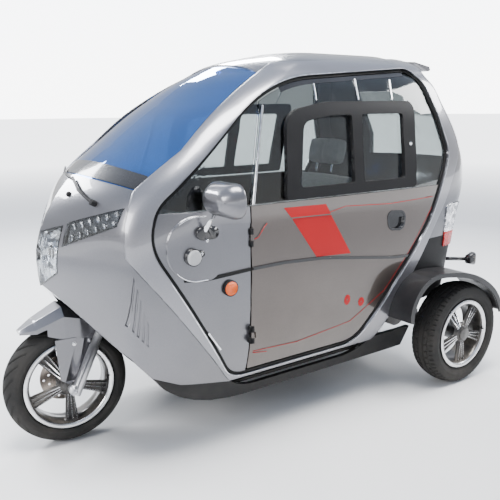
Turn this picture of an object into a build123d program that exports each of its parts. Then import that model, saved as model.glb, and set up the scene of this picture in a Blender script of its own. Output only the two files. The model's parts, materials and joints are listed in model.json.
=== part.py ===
from build123d import *
import math
import os

# Cabin tricycle: a small enclosed electric car with one steered wheel in front and two driven wheels
# behind.  Millimetres.  +Z is up, the front looks along -Y and the driver's left is +X.
# The origin lies on the ground, midway between the front tyre's tread and the tail.

# ---------------------------------------------------------------- driving dimensions
WHEELBASE = 1740.0
FRONT_AXLE_Y = -925.0
REAR_AXLE_Y = FRONT_AXLE_Y + WHEELBASE
FRONT_TYRE_R = 245.0
REAR_TYRE_R = 247.0
REAR_HALF_TRACK = 541.0
SILL_Z = 178.0

WALL = 26.0            # whole thickness of a door, hoop or roof shell
GLASS = 5.0            # pane thickness
GLASS_INSET = 7.0      # outer face of a pane below the skin
HOOP_PROUD = 9.0       # side hoop stands out from the skin by this much
SHOULDER_PROUD = 4.0   # belt shoulder and nose crease stand out from the skin
POD_PROUD = 11.0       # raised pod that carries mirror and turn lamp
SEAL_W = 13.0          # rubber seal round a door opening
DOOR_GAP = 7.0         # shut line between the door and what it closes against
PANEL_GAP = 0.4        # seam between two fixed panels
FIT = 0.3              # play of a shaft in its bore, and of a piece on its seat

BELT_Z = 965.0         # top of the lower door panel
DOOR_FRONT_Y = -355.0  # shut line at the hinge side of the door
POLE_TOP_Y = -262.0    # top of the front post of the door glass
HINGE_X = 508.0        # door hinge line, just outside the skin

STEER_RAKE = 26.0      # steering axis leans back from vertical
STEER_AT_REST = -4.5   # the front wheel stands turned a little to the right
FORK_OFFSET = 30.0     # axle ahead of the steering axis
LEG_TRAIL = 14.0       # fork legs behind the axle, which is held in lugs ahead of them

# Body form: one plan outline for each height.  Each half outline runs from the centre of the front
# to the front corner, along the side, round the rear corner and to the centre of the tail.
# bow is how far the front edge has fallen back halfway out to the corner (0.25 round, 0.5 a straight V).
#   z,    front_y, bow,  corner_x, corner_y, side_x, rear_x, rear_y, tail_y
BODY_SECTIONS = [
    (170, -930, 0.46, 330, -800, 394, 380, 760, 840),
    (340, -960, 0.46, 392, -810, 468, 438, 800, 900),
    (600, -990, 0.46, 420, -815, 499, 456, 850, 990),
    (800, -1000, 0.46, 425, -812, 503, 470, 870, 1045),
    (930, -955, 0.42, 405, -802, 501, 471, 905, 1130),
    (1050, -868, 0.30, 378, -742, 489, 464, 900, 1158),
    (1174, -700, 0.25, 416, -575, 466, 446, 855, 1135),
    (1328, -487, 0.25, 377, -385, 430, 404, 800, 1010),
    (1453, -285, 0.25, 308, -165, 362, 336, 765, 900),
    (1515, -125, 0.25, 232, -40, 290, 262, 715, 825),
    (1550, 60, 0.25, 150, 110, 182, 160, 620, 720),
]
SIDE_START_Y = -560.0
SIDE_END_Y = 480.0

# Side outlines, seen from the left: y, z and the corner's radius.
HOOP_INSIDE = [
    (-797, 918, 190), (-215, 1425, 700), (665, 1492, 110),
    (790, 1110, 130), (640, 800, 500), (215, 296, 150), (-435, 296, 110),
]
HOOP_OUTSIDE = [
    (-902, 925, 150), (-400, 1475, 600), (700, 1540, 90),
    (885, 1140, 120), (745, 880, 400), (300, 226, 230), (-395, 226, 210),
]
# Half width of the centre panels (nose, windscreen, roof and tail) between the hoops: z, x.
PILLAR_LINE = [
    (100, 452), (560, 452), (780, 428), (942, 403), (1036, 378), (1174, 414), (1328, 372), (1453, 304),
    (1600, 200),
]


# ---------------------------------------------------------------- body form
def front_points(section, inset=0.0):
    """Centre, middle and corner of a section's front edge in plan, drawn in from the outside by inset."""
    z, front_y, bow, corner_x, corner_y = section[:5]
    front_y = front_y + 1.3 * inset
    corner_y = corner_y + inset
    corner_x = corner_x - inset
    return (0, front_y), (corner_x / 2, front_y + bow * (corner_y - front_y)), (corner_x, corner_y)


def plan_outline(section, inset):
    """Closed plan outline of the body at one height, drawn in from the outside by inset."""
    z, front_y, bow, corner_x, corner_y, side_x, rear_x, rear_y, tail_y = section
    front, mid_front, corner = front_points(section, inset)
    side_x = side_x - inset
    rear_x = rear_x - inset
    rear_y = rear_y - inset
    tail_y = tail_y - 1.1 * inset
    shoulder = (side_x, max(SIDE_START_Y, corner[1] + 90))
    flank = (side_x, SIDE_END_Y)
    rear = (rear_x, rear_y)
    tail = (0, tail_y)
    mid_shoulder = (corner[0] + 0.66 * (shoulder[0] - corner[0]),
                    corner[1] + 0.40 * (shoulder[1] - corner[1]))
    mid_rear = (side_x - 0.28 * (side_x - rear_x), SIDE_END_Y + 0.52 * (rear_y - SIDE_END_Y))
    mid_tail = (0.60 * rear_x, tail_y - 0.30 * (tail_y - rear_y))
    half = [(front, mid_front, corner), (corner, mid_shoulder, shoulder), (shoulder, None, flank),
            (flank, mid_rear, rear), (rear, mid_tail, tail)]
    edges = []
    for side in (1, -1):
        for start, middle, end in half:
            a = (side * start[0], start[1])
            b = (side * end[0], end[1])
            if middle is None:
                edges.append(Line(a, b))
            else:
                edges.append(ThreePointArc(a, (side * middle[0], middle[1]), b))
    return Plane.XY.offset(z) * make_face(Wire(Curve(children=edges).edges()))


def body_form(inset):
    """Solid of the whole body, drawn in from the outside by inset (or out, if it is negative)."""
    sections = []
    for section in BODY_SECTIONS:
        z = section[0]
        if section is BODY_SECTIONS[-1]:
            z = z - inset
        if section is BODY_SECTIONS[-2]:
            z = z - 0.7 * inset
        if section is BODY_SECTIONS[0] and inset > 0:
            z = z - 20
        sections.append(plan_outline((z,) + section[1:], inset))
    return loft(sections, ruled=True)


def front_skin_y(x, z):
    """How far forward the nose and hood reach at a distance from the centre plane and a height."""
    for low, high in zip(BODY_SECTIONS, BODY_SECTIONS[1:]):
        if low[0] <= z <= high[0]:
            share = (z - low[0]) / (high[0] - low[0])
            depths = []
            for section in (low, high):
                front, middle, corner = front_points(section)
                t = abs(x) / corner[0]
                depths.append(front[1] * (1 - t) * (1 - 2 * t) + middle[1] * 4 * t * (1 - t)
                              + corner[1] * t * (2 * t - 1))
            return depths[0] + share * (depths[1] - depths[0])


def side_region(outline, shrink=0.0, inner_x=-700.0, outer_x=700.0):
    """Block cut out by a rounded side outline, between two distances from the centre plane."""
    face = make_face(Polyline(*[(y, z) for y, z, radius in outline], close=True))
    for y, z, radius in outline:
        if radius > 0:
            corner = face.vertices().sort_by_distance((y, z, 0))[0]
            face = fillet(corner, radius)
    if shrink != 0:
        face = offset(face, amount=-shrink, kind=Kind.INTERSECTION)
    return extrude(Plane.YZ.offset(inner_x) * face, amount=outer_x - inner_x)


def front_region(outline, rear_y, front_y):
    """Block cut out by a straight-sided front outline of (x, z) points."""
    face = make_face(Polyline(*outline, close=True))
    plane = Plane(origin=(0, rear_y, 0), x_dir=(1, 0, 0), z_dir=(0, -1, 0))
    return extrude(plane * face, amount=rear_y - front_y)


def side_prism(points, inner_x=-700.0, outer_x=700.0):
    """Block with a straight-sided side outline of (y, z) points."""
    face = make_face(Polyline(*points, close=True))
    return extrude(Plane.YZ.offset(inner_x) * face, amount=outer_x - inner_x)


def button(radius, height, rounding):
    """Disc about Z with its upper edge rounded over."""
    disc = Cylinder(radius, height)
    return fillet(disc.edges().sort_by(Axis.Z)[-1], rounding)


def mirrored(shape):
    return mirror(shape, about=Plane.YZ)


def on_both(shape):
    return shape + mirrored(shape)


def box_between(low, high):
    size = [high[i] - low[i] for i in range(3)]
    middle = [(high[i] + low[i]) / 2 for i in range(3)]
    return Pos(*middle) * Box(*size)


def tube_between(start, end, radius, wall=None, end_radius=None):
    """Round bar, tube or taper from one point to another."""
    a = Vector(*start)
    b = Vector(*end)
    plane = Plane(origin=a, z_dir=(b - a))
    length = (b - a).length
    if end_radius is not None:
        return plane * Pos(0, 0, length / 2) * Cone(radius, end_radius, length)
    bar = extrude(plane * Circle(radius), amount=length)
    if wall is not None:
        bar = bar - extrude(plane * Circle(radius - wall), amount=length)
    return bar


nodes = {}

# ---------------------------------------------------------------- body shell
outer_form = body_form(0)
inner_form = body_form(WALL)
lining = body_form(WALL + 3)
# The underside rises ahead of the doors, first in a curve and then in the straight line of the prow.
PROW = [(-1200, 918), (-700, 307), (-640, 262), (-570, 226), (-490, 198), (-400, 182), (-330, SILL_Z)]
prow = side_prism(PROW + [(-330, 60), (-1300, 60), (-1300, 918)])
skin = outer_form - inner_form - prow

pillar_right = [(-x, z) for z, x in PILLAR_LINE]
pillar_left = [(x, z) for z, x in reversed(PILLAR_LINE)]
centre_band = front_region(pillar_right + pillar_left, 1300, -1300)
slim_right = [(-x + PANEL_GAP, z) for z, x in PILLAR_LINE]
slim_left = [(x - PANEL_GAP, z) for z, x in reversed(PILLAR_LINE)]
slim_band = front_region(slim_right + slim_left, 1300, -1300)
hoop_block = side_region(HOOP_OUTSIDE) - side_region(HOOP_INSIDE) - centre_band
nodes["side_hoops"] = (body_form(-HOOP_PROUD) & hoop_block) - inner_form

# The centre panels fill the band between the two hoops and what lies outside their outline.
beside_hoops = side_region(HOOP_OUTSIDE, shrink=-PANEL_GAP) - slim_band
centre_skin = skin - beside_hoops

# Side outlines (y, z) that part the centre panels from each other.
NOSE_TOP_FRONT = 870.0
NOSE_TOP_REAR = 905.0
SCREEN_FOOT_FRONT = (-860, 1086)
SCREEN_FOOT_REAR = (-640, 992)
ROOF_FRONT_Y = -170.0
ROOF_REAR_Y = 690.0
TAIL_BOX_TOP = 720.0
TAIL_BOX_LOW = 430.0
PROW_FRONT = -1300.0
TOP = 1700.0
nose_zone = side_prism([(PROW_FRONT, 100), (PROW_FRONT, NOSE_TOP_FRONT), (-905, NOSE_TOP_FRONT),
                        (-760, NOSE_TOP_REAR), (-560, NOSE_TOP_REAR), (-560, 520), (-380, 520),
                        (-380, 262), (-560, 262), (-560, 100)])
hood_zone = side_prism([(PROW_FRONT, NOSE_TOP_FRONT + PANEL_GAP), (-905, NOSE_TOP_FRONT + PANEL_GAP),
                        (-760, NOSE_TOP_REAR + PANEL_GAP), (-640, NOSE_TOP_REAR + PANEL_GAP),
                        SCREEN_FOOT_REAR, SCREEN_FOOT_FRONT, (PROW_FRONT, 1275)])
screen_zone = side_prism([(PROW_FRONT, 1275 + PANEL_GAP),
                          (SCREEN_FOOT_FRONT[0], SCREEN_FOOT_FRONT[1] + PANEL_GAP),
                          (SCREEN_FOOT_REAR[0], SCREEN_FOOT_REAR[1] + PANEL_GAP), (ROOF_FRONT_Y, 1370),
                          (ROOF_FRONT_Y, TOP), (PROW_FRONT, TOP)])
roof_zone = side_prism([(ROOF_FRONT_Y + PANEL_GAP, 1330), (ROOF_FRONT_Y + PANEL_GAP, TOP),
                        (ROOF_REAR_Y, TOP), (ROOF_REAR_Y, 1330)])
tail_zone = side_prism([(ROOF_REAR_Y + PANEL_GAP, TOP), (1300, TOP), (1300, TAIL_BOX_TOP),
                        (560, TAIL_BOX_TOP), (560, 1000), (ROOF_REAR_Y + PANEL_GAP, 1200)])
tail_low_zone = side_prism([(1300, TAIL_BOX_TOP - PANEL_GAP), (1300, TAIL_BOX_LOW), (520, TAIL_BOX_LOW),
                            (520, TAIL_BOX_TOP - PANEL_GAP)])


# ---------------------------------------------------------------- head lamp and light strips
# Lamp windows in the panels, drawn in front view (x, z) for the left half.
HEADLAMP = [(0, 870), (118, 903), (104, 722), (0, 657)]
LED_STRIP = [(142, 915), (368, 983), (366, 922), (132, 826)]
LENS = 4.0             # lens thickness
LAMP_DEPTH = 20.0      # from the skin to the back of the reflectors


def both_sides(outline):
    return outline + [(-x, z) for x, z in reversed(outline) if x != 0]


def lamp_block(outline, amount):
    """Block behind a lamp window, larger than its front outline by amount all round."""
    face = make_face(Polyline(*outline, close=True))
    if amount != 0:
        face = offset(face, amount=amount, kind=Kind.INTERSECTION)
    plane = Plane(origin=(0, -640, 0), x_dir=(1, 0, 0), z_dir=(0, -1, 0))
    return extrude(plane * face, amount=500)


lens_skin = body_form(-2) - body_form(LENS - 2)
reflector_skin = body_form(LAMP_DEPTH - 12) - inner_form
lamp_hole = lamp_block(both_sides(HEADLAMP), PANEL_GAP) + on_both(lamp_block(LED_STRIP, PANEL_GAP))
nodes["headlamp"] = lens_skin & lamp_block(both_sides(HEADLAMP), 0)
nodes["led_strips"] = on_both(lens_skin & lamp_block(LED_STRIP, 0))

# Reflectors: a bowl with a projector on each side of the head lamp, ribs beside the centre line, and two
# rows of small round cups along each light strip.
LED_CUP_R = 15.0
LED_CUPS_PER_ROW = 6
PROJECTOR = (57.0, 795.0)
PROJECTOR_R = 22.0
head_plate = (body_form(LAMP_DEPTH - 4) - inner_form) & lamp_block(both_sides(HEADLAMP), 0)
strip_plate = reflector_skin & lamp_block(LED_STRIP, 0)
for row in (0.27, 0.73):
    for i in range(LED_CUPS_PER_ROW):
        t = (i + 0.75) / (LED_CUPS_PER_ROW + 0.5)
        x = (1 - row) * (142 + t * 226) + row * (132 + t * 234)
        z = (1 - row) * (915 + t * 68) + row * (826 + t * 96)
        cup_r = LED_CUP_R * (1 - 0.25 * t)
        strip_plate -= Pos(x, front_skin_y(x, z) + 14, z) * Rot(90, 0, 0) * Cone(0.45 * cup_r, cup_r, 26)
x, z = PROJECTOR
lamp_y = front_skin_y(x, z)
projector = Pos(x, lamp_y + 22, z) * Rot(90, 0, 0) * button(PROJECTOR_R, 24, 16)
ring = Cylinder(PROJECTOR_R + 7, 12) - Cylinder(PROJECTOR_R + 3, 20)
ring = Pos(x, lamp_y + 27, z) * Rot(90, 0, 0) * ring
ribs = Part()
for i in range(3):
    rib_x = 8.0 + 11.0 * i
    rib_y = front_skin_y(rib_x, 780)
    ribs += box_between((rib_x, rib_y + 12, 705), (rib_x + 3, rib_y + 30, 850))
lamp_inside = on_both(projector + ring + ribs) & lamp_block(both_sides(HEADLAMP), -1) & body_form(LENS + 3)
nodes["headlamp_reflectors"] = (head_plate + (lamp_inside - inner_form)) + on_both(strip_plate)

# ---------------------------------------------------------------- nose, hood, roof and sills
# Crease that runs from below the head lamp up to the hoop, and the louvres behind it (x, z and y, z).
CREASE = [(0, 641), (0, 652), (112, 700), (150, 724), (300, 792), (418, 856), (418, 848), (300, 776),
          (150, 700), (106, 686)]
LOUVRES = 5
crease = lamp_block(both_sides(CREASE), 0) & slim_band & nose_zone
SILL_TOP = [(-800, 372), (-740, 362), (-645, 321), (-525, 296), (-400, 268), (-380, 290), (640, 290),
            (640, 60), (-800, 60)]
sill_zone = side_prism(SILL_TOP)
hoop_foot = side_region(HOOP_OUTSIDE, shrink=-PANEL_GAP) & box_between((-700, -560, 200), (700, -370, 530))
nose = (centre_skin & nose_zone) - hoop_foot
nose += (body_form(-SHOULDER_PROUD) - outer_form) & crease
nose = nose - side_prism([(y, z + PANEL_GAP) for y, z in SILL_TOP[:-2]] + [(640, 60), (-800, 60)])
louvres = Part()
for i in range(LOUVRES):
    low = (-826 + 15 * i, 572 - 18 * i)
    high = (-800 + 9 * i, 752 - 40 * i)
    louvres += side_prism([low, (low[0] + 7, low[1] - 8), (high[0] + 5, high[1] - 22), high], inner_x=300)
nodes["nose_panel"] = nose - lamp_hole - (on_both(louvres) - body_form(3))
nodes["hood"] = (centre_skin & hood_zone) - lamp_hole
nodes["roof"] = centre_skin & roof_zone
below_hoop = skin - side_region(HOOP_OUTSIDE, shrink=-PANEL_GAP)
nodes["sill_skirts"] = (below_hoop & sill_zone) & box_between((-700, -900, SILL_Z), (700, 600, 400))

# Tail: the upper shell holds the rear window, and the black box below it sits between the wheels.
REAR_WINDOW = [(290, 1060), (235, 1400)]
rear_window_hole = front_region(both_sides(REAR_WINDOW), 1300, 760)
rear_pane = front_region(both_sides([(x - PANEL_GAP, z + (PANEL_GAP if z < 1200 else -PANEL_GAP))
                                     for x, z in REAR_WINDOW]), 1300, 800)
TAIL_LAMP = [(772, 665), (772, 850), (800, 868), (905, 868), (905, 665)]
tail_lamp_block = side_prism(TAIL_LAMP, inner_x=250)
tail_lamp_hole = on_both(side_prism([(y - PANEL_GAP if y < 900 else y + PANEL_GAP,
                                      z - PANEL_GAP if z < 700 else z + PANEL_GAP) for y, z in TAIL_LAMP],
                                    inner_x=250))
nodes["tail_shell"] = (centre_skin & tail_zone) - rear_window_hole - tail_lamp_hole
nodes["tail_box"] = (centre_skin & tail_low_zone) - tail_lamp_hole
nodes["tail_lamps"] = on_both(((body_form(-5) - inner_form) & tail_lamp_block) - beside_hoops)
SPOILER = [(700, 1527), (800, 1529), (905, 1510), (914, 1494), (900, 1488), (790, 1492), (700, 1400)]
nodes["spoiler"] = side_prism(SPOILER, inner_x=-232, outer_x=232) - body_form(-FIT)

glass_skin = body_form(GLASS_INSET) - body_form(GLASS_INSET + GLASS)
within_hoops = on_both(side_region(HOOP_INSIDE, shrink=PANEL_GAP, inner_x=200))
nodes["windscreen"] = ((glass_skin - beside_hoops) & screen_zone) - within_hoops
nodes["rear_window"] = glass_skin & rear_pane

# ---------------------------------------------------------------- side panels and doors
within_seal = side_region(HOOP_INSIDE, shrink=SEAL_W + PANEL_GAP, inner_x=200)
within_gap = side_region(HOOP_INSIDE, shrink=SEAL_W + DOOR_GAP, inner_x=200)
seal_ring = side_region(HOOP_INSIDE, shrink=PANEL_GAP, inner_x=200) - side_region(HOOP_INSIDE, shrink=SEAL_W,
                                                                                 inner_x=190)
SHUT_Y = DOOR_FRONT_Y - DOOR_GAP
fixed_low = side_prism([(-900, BELT_Z), (SHUT_Y, BELT_Z), (SHUT_Y, 100), (-900, 100)], inner_x=200)
door_low = side_prism([(DOOR_FRONT_Y, 100), (DOOR_FRONT_Y, BELT_Z), (900, BELT_Z), (900, 100)], inner_x=200)
fixed_high = side_prism([(-900, BELT_Z + PANEL_GAP), (SHUT_Y, BELT_Z + PANEL_GAP),
                         (POLE_TOP_Y - DOOR_GAP, 1330),
                         (POLE_TOP_Y - DOOR_GAP + 60, 1600), (-900, 1600)], inner_x=200)
door_high = side_prism([(DOOR_FRONT_Y, BELT_Z + PANEL_GAP), (POLE_TOP_Y, 1330), (POLE_TOP_Y + 60, 1600),
                        (900, 1600), (900, BELT_Z + PANEL_GAP)], inner_x=200)

# Side styling, drawn in side view (y, z): belt shoulder, pod, rubbing strip and handle.
SHOULDER = [(-575, 968), (-519, 915), (-351, 903), (85, 896), (346, 884), (540, 889), (590, 905), (612, 930),
            (612, 968)]
POD = [(-697, 952, 108), (-492, 952, 60), (-492, 718, 60), (-697, 718, 108)]
STRIP = [(-640, 722), (-557, 714), (-370, 723), (-205, 726), (-15, 717), (205, 688), (400, 661), (505, 655)]
STRIP_H = 12.0
STRIP_PROUD = 6.0
HANDLE = [(352, 880, 30), (478, 872, 38), (470, 782, 36), (368, 790, 40)]
strip_block = side_prism(STRIP + [(y, z + STRIP_H) for y, z in reversed(STRIP)], inner_x=200)
shoulder_skin = (body_form(-SHOULDER_PROUD) - outer_form) & side_prism(SHOULDER, inner_x=200)
pod_block = side_region(POD, inner_x=200)
pod_form = body_form(-POD_PROUD) & pod_block
handle_block = side_region(HANDLE, inner_x=300)

# Door hinges: two pins a side in the shut line.  The middle knuckle of each is part of the door.
HINGE_Y = DOOR_FRONT_Y - DOOR_GAP / 2
HINGE_HEIGHTS = (470.0, 850.0)
PIN_R = 4.0
KNUCKLE_R = 7.0
KNUCKLE_H = 22.0
KNUCKLE_GAP = 0.5
hinges = Part()
door_knuckles = Part()
hinge_notch = Part()
for z in HINGE_HEIGHTS:
    hinges += Pos(HINGE_X, HINGE_Y, z) * Cylinder(PIN_R, 3 * KNUCKLE_H)
    for step in (-1, 1):
        height = z + step * (KNUCKLE_H + KNUCKLE_GAP)
        hinges += Pos(HINGE_X, HINGE_Y, height) * Cylinder(KNUCKLE_R, KNUCKLE_H)
        hinges += Pos(HINGE_X - 20, HINGE_Y - 6, height) * Box(40, 8, KNUCKLE_H)
    door_knuckles += Pos(HINGE_X, HINGE_Y, z) * Cylinder(KNUCKLE_R, KNUCKLE_H)
    door_knuckles += Pos(HINGE_X - 20, HINGE_Y + 6, z) * Box(40, 8, KNUCKLE_H)
    hinge_notch += Pos(HINGE_X, HINGE_Y, z) * Cylinder(KNUCKLE_R + 3, 3 * KNUCKLE_H + 8)
    door_knuckles -= Pos(HINGE_X, HINGE_Y, z) * Cylinder(PIN_R + FIT, 3 * KNUCKLE_H)

quarter_plate = (skin & within_seal & fixed_low) + (shoulder_skin & within_seal & fixed_low)
quarter_plate = quarter_plate + ((pod_form - inner_form) & within_seal & fixed_low)
quarter_left = quarter_plate - hinge_notch
nodes["quarter_panels"] = on_both(quarter_left)
nodes["door_hinges"] = on_both(hinges - quarter_left)
nodes["quarter_glasses"] = on_both(glass_skin & within_seal & fixed_high)
strip_skin = (body_form(-STRIP_PROUD) - body_form(-FIT)) & strip_block
quarter_strip = (strip_skin & within_seal & fixed_low) - side_region(POD, shrink=-FIT, inner_x=200)
seal_skin = (body_form(2) - body_form(WALL - 4)) & seal_ring
nodes["door_seals"] = on_both(seal_skin + quarter_strip)

door_plate = (skin & within_gap & door_low) + (shoulder_skin & within_gap & door_low)
handle_hole = handle_block - body_form(18)
door_left = (door_plate - hinge_notch - handle_hole) + door_knuckles
door_glass_left = glass_skin & within_gap & door_high
# Handle: a black dish set in the door with a paddle across its mouth.
dish = (body_form(-2) - body_form(18 - FIT)) & side_region(HANDLE, shrink=FIT, inner_x=300)
dish = dish - (side_region(HANDLE, shrink=9, inner_x=300) - body_form(14))
PADDLE = [(345, 886, 0), (490, 880, 0), (490, 842, 0), (345, 850, 0)]
paddle = (body_form(0) - body_form(6)) & side_region(PADDLE, inner_x=300)
paddle = paddle & side_region(HANDLE, shrink=8, inner_x=300)
door_strip = strip_skin & side_prism([(DOOR_FRONT_Y + 2, 500), (DOOR_FRONT_Y + 2, 900), (520, 900),
                                      (520, 500)])
door_trim_left = (dish + paddle) + (door_strip & within_gap)

# Black sliding-window frame: y, z and corner radius, with its two panes.
FRAME_OUTSIDE = [(-197, 972, 18), (-158, 1300, 90), (60, 1340, 300), (560, 1343, 32), (528, 972, 18)]
PANE_FRONT = [(-125, 1015, 15), (-78, 1262, 45), (60, 1285, 150), (178, 1287, 10), (160, 1015, 10)]
PANE_REAR = [(212, 1015, 12), (235, 1288, 10), (480, 1290, 14), (458, 1015, 14)]
frame_block = side_region(FRAME_OUTSIDE, inner_x=200) - side_region(PANE_FRONT, inner_x=100)
frame_block = frame_block - side_region(PANE_REAR, inner_x=100)
window_frame_left = (body_form(-13) - body_form(GLASS_INSET - FIT)) & frame_block
for word, turn in (("left", lambda shape: shape), ("right", mirrored)):
    nodes["door_panel_" + word] = turn(door_left)
    nodes["door_glass_" + word] = turn(door_glass_left)
    nodes["window_frame_" + word] = turn(window_frame_left)
    nodes["door_trim_" + word] = turn(door_trim_left)

# ---------------------------------------------------------------- lamps, mirrors and wiper
TURN_LAMP = (-613.0, 812.0)
TURN_LAMP_R = 31.0
lamp_base_x = 503 + POD_PROUD - 4
turn_lamp = Pos(lamp_base_x, *TURN_LAMP) * Rot(0, 90, 0) * Cylinder(TURN_LAMP_R, 30)
turn_lamp += Pos(lamp_base_x, TURN_LAMP[0] + 34, TURN_LAMP[1] + 8) * Rot(0, 90, 0) * Cylinder(12, 22)
turn_lamp += Pos(lamp_base_x + 20, *TURN_LAMP) * Rot(0, 90, 0) * button(TURN_LAMP_R - 3, 14, 11)
stalk = tube_between((300, 850, 560), (440, 1015, 560), 9)
bulb = loft([Plane(origin=(448, 1012, 560), z_dir=(0, 1, 0)) * RectangleRounded(44, 30, 12),
             Plane(origin=(448, 1052, 560), z_dir=(0, 1, 0)) * RectangleRounded(66, 42, 16)])
stalk_lamp = (stalk - body_form(-FIT)) + bulb
nodes["turn_lamps"] = on_both(turn_lamp - body_form(-POD_PROUD - FIT)) + on_both(stalk_lamp)
REFLECTOR = (-455.0, 672.0)
reflector = Pos(502, *REFLECTOR) * Rot(0, 90, 0) * (Cylinder(30, 24) + Pos(0, 0, 9) * Cylinder(26, 10))
nodes["side_reflectors"] = on_both(reflector - body_form(-FIT))

MIRROR = (628.0, -530.0, 1018.0)
mirror_base = Pos(505, -556, 892) * Rot(0, 90, 0) * extrude(SlotOverall(88, 46, rotation=90), amount=24)
mirror_base = mirror_base - body_form(-POD_PROUD - FIT)
mirror_arm = tube_between((522, -566, 900), (600, -562, 985), 7)
mirror_face = Plane(origin=MIRROR, x_dir=(1, 0, 0), z_dir=(0, -1, 0))
mirror_head = loft([mirror_face * RectangleRounded(204, 116, 50),
                    mirror_face.offset(24) * RectangleRounded(202, 114, 50),
                    mirror_face.offset(50) * RectangleRounded(170, 90, 44),
                    mirror_face.offset(70) * RectangleRounded(116, 52, 25)])
mirror_head = mirror_head - mirror_face.offset(-1) * extrude(RectangleRounded(184, 96, 42), amount=5)
nodes["mirrors"] = on_both(mirror_base + mirror_arm + mirror_head)

# Wiper, parked along the foot of the windscreen: pivot cap on the hood, arm and blade.
# Front-view places (x, z) and heights above the skin.
WIPER_PIVOT = (240.0, 990.0)
WIPER_ARM = [(236, 994, 12), (144, 1031, 15), (52, 1068, 17)]
WIPER_BLADE = [(70, 1062, 15), (-20, 1070, 13), (-110, 1076, 12), (-255, 1082, 12)]


def above_skin(x, z, height):
    """Point in front of the nose, hood or windscreen at a front-view place."""
    return (x, front_skin_y(x, z) - height, z)


pivot_y = front_skin_y(*WIPER_PIVOT)
wiper = tube_between((240, pivot_y + 20, 978), (240, pivot_y - 16, 998), 13, end_radius=11)
for path, radius in ((WIPER_ARM, 5.5), (WIPER_BLADE, 4)):
    for start, end in zip(path, path[1:]):
        wiper += tube_between(above_skin(*start), above_skin(*end), radius)
    for point in path[1:-1]:
        wiper += Pos(*above_skin(*point)) * Sphere(radius)
nodes["wiper"] = wiper - body_form(-FIT)

# ---------------------------------------------------------------- chassis
RAIL_X = 250.0
RAIL_LOW = 185.0
RAIL_H = 50.0
RAIL_W = 30.0
FLOOR_Z = RAIL_LOW + RAIL_H + FIT
FLOOR_T = 15.0
FRONT_CROSS_Y = -560.0
REAR_CROSS_Y = 500.0
KICK_Y = 640.0
DECK_Z = 462.0
DECK_END_Y = 848.0
TUBE_R = 17.0

axle_front = Vector(0, FRONT_AXLE_Y, FRONT_TYRE_R)
rake = math.radians(STEER_RAKE)
steer_up = Vector(0, math.sin(rake), math.cos(rake))
steer_back = Vector(0, math.cos(rake), -math.sin(rake))
steer_foot = axle_front + steer_back * FORK_OFFSET


def on_steer(along, back=0.0, x=0.0):
    """Point at a distance up the steering axis from the axle's height, and behind the axis."""
    point = steer_foot + steer_up * along + steer_back * back
    return (x, point.Y, point.Z)


HEAD_LOW = 455.0
HEAD_HIGH = 640.0
HEAD_R = 27.0
HEAD_PLAY = 0.8        # stem in its bushes
STEM_R = 15.0
frame = Part()
for side in (-1, 1):
    frame += box_between((side * RAIL_X - RAIL_W / 2, FRONT_CROSS_Y, RAIL_LOW),
                         (side * RAIL_X + RAIL_W / 2, REAR_CROSS_Y + 40, RAIL_LOW + RAIL_H))
for y in (FRONT_CROSS_Y, -80.0, 240.0, REAR_CROSS_Y):
    frame += box_between((-RAIL_X, y, RAIL_LOW), (RAIL_X, y + 40, RAIL_LOW + RAIL_H))
for side in (-1, 1):
    frame += tube_between((side * 90, FRONT_CROSS_Y + 20, RAIL_LOW + 25),
                          on_steer(HEAD_LOW + 50, 32, side * 18), TUBE_R)
    frame += tube_between((side * RAIL_X, REAR_CROSS_Y + 20, RAIL_LOW + 25), (side * RAIL_X, KICK_Y, DECK_Z),
                          TUBE_R)
    frame += tube_between((side * RAIL_X, KICK_Y, DECK_Z), (side * RAIL_X, DECK_END_Y, DECK_Z), TUBE_R)
for y in (KICK_Y, DECK_END_Y):
    frame += tube_between((-RAIL_X, y, DECK_Z), (RAIL_X, y, DECK_Z), TUBE_R)
frame = frame + tube_between(on_steer(HEAD_LOW), on_steer(HEAD_HIGH), HEAD_R)
stem_bore = tube_between(on_steer(HEAD_LOW - 20), on_steer(HEAD_HIGH + 20), STEM_R + HEAD_PLAY)
nodes["chassis_frame"] = frame - stem_bore

floor = box_between((-450, FRONT_CROSS_Y + 45, FLOOR_Z), (450, REAR_CROSS_Y - 2, FLOOR_Z + FLOOR_T))
nodes["floor_pan"] = floor & body_form(WALL + FIT)
bulkhead = box_between((-470, -512, FLOOR_Z + FLOOR_T + FIT), (470, -507, 859.7))
nodes["bulkhead"] = bulkhead & lining
DASH_Z = 860.0
dash = side_prism([(-860, DASH_Z), (-500, DASH_Z), (-486, DASH_Z + 14), (-486, DASH_Z + 44),
                   (-520, DASH_Z + 65),
                   (-860, DASH_Z + 65)]) & lining
nodes["dashboard"] = dash - tube_between(on_steer(600), on_steer(900), 42)
nodes["battery_box"] = box_between((-215, -40, FLOOR_Z + FLOOR_T + FIT), (215, 330, 440))

# Wheel well: a black tub behind the nose, open below, with a flange out to the nose panel's edge.
WELL_X = 275.0
WELL_TOP = 700.0
WELL_T = 4.0
flange_line = [(y + 3, z + 3) for y, z in PROW[:3]] + [(-606, 253)]
(tip_y, tip_z), (knee_y, knee_z) = flange_line[:2]
well_tip_y = tip_y + (tip_z - WELL_TOP) * (knee_y - tip_y) / (tip_z - knee_z)
well_side = side_prism([(well_tip_y, WELL_TOP)] + flange_line[1:] + [(-516, 253), (-516, WELL_TOP)],
                       inner_x=-WELL_X, outer_x=WELL_X)
well_inside = box_between((WELL_T - WELL_X, -1300, 0), (WELL_X - WELL_T, 0, WELL_TOP - WELL_T))
flange = side_prism(flange_line + [(y + 4, z + 5) for y, z in reversed(flange_line)])
flange = flange - box_between((2 - WELL_X, -1300, 0), (WELL_X - 2, 0, 900))
well = (well_side - well_inside) + flange
well = well - tube_between(on_steer(HEAD_LOW), on_steer(HEAD_HIGH), HEAD_R + 6)
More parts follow.
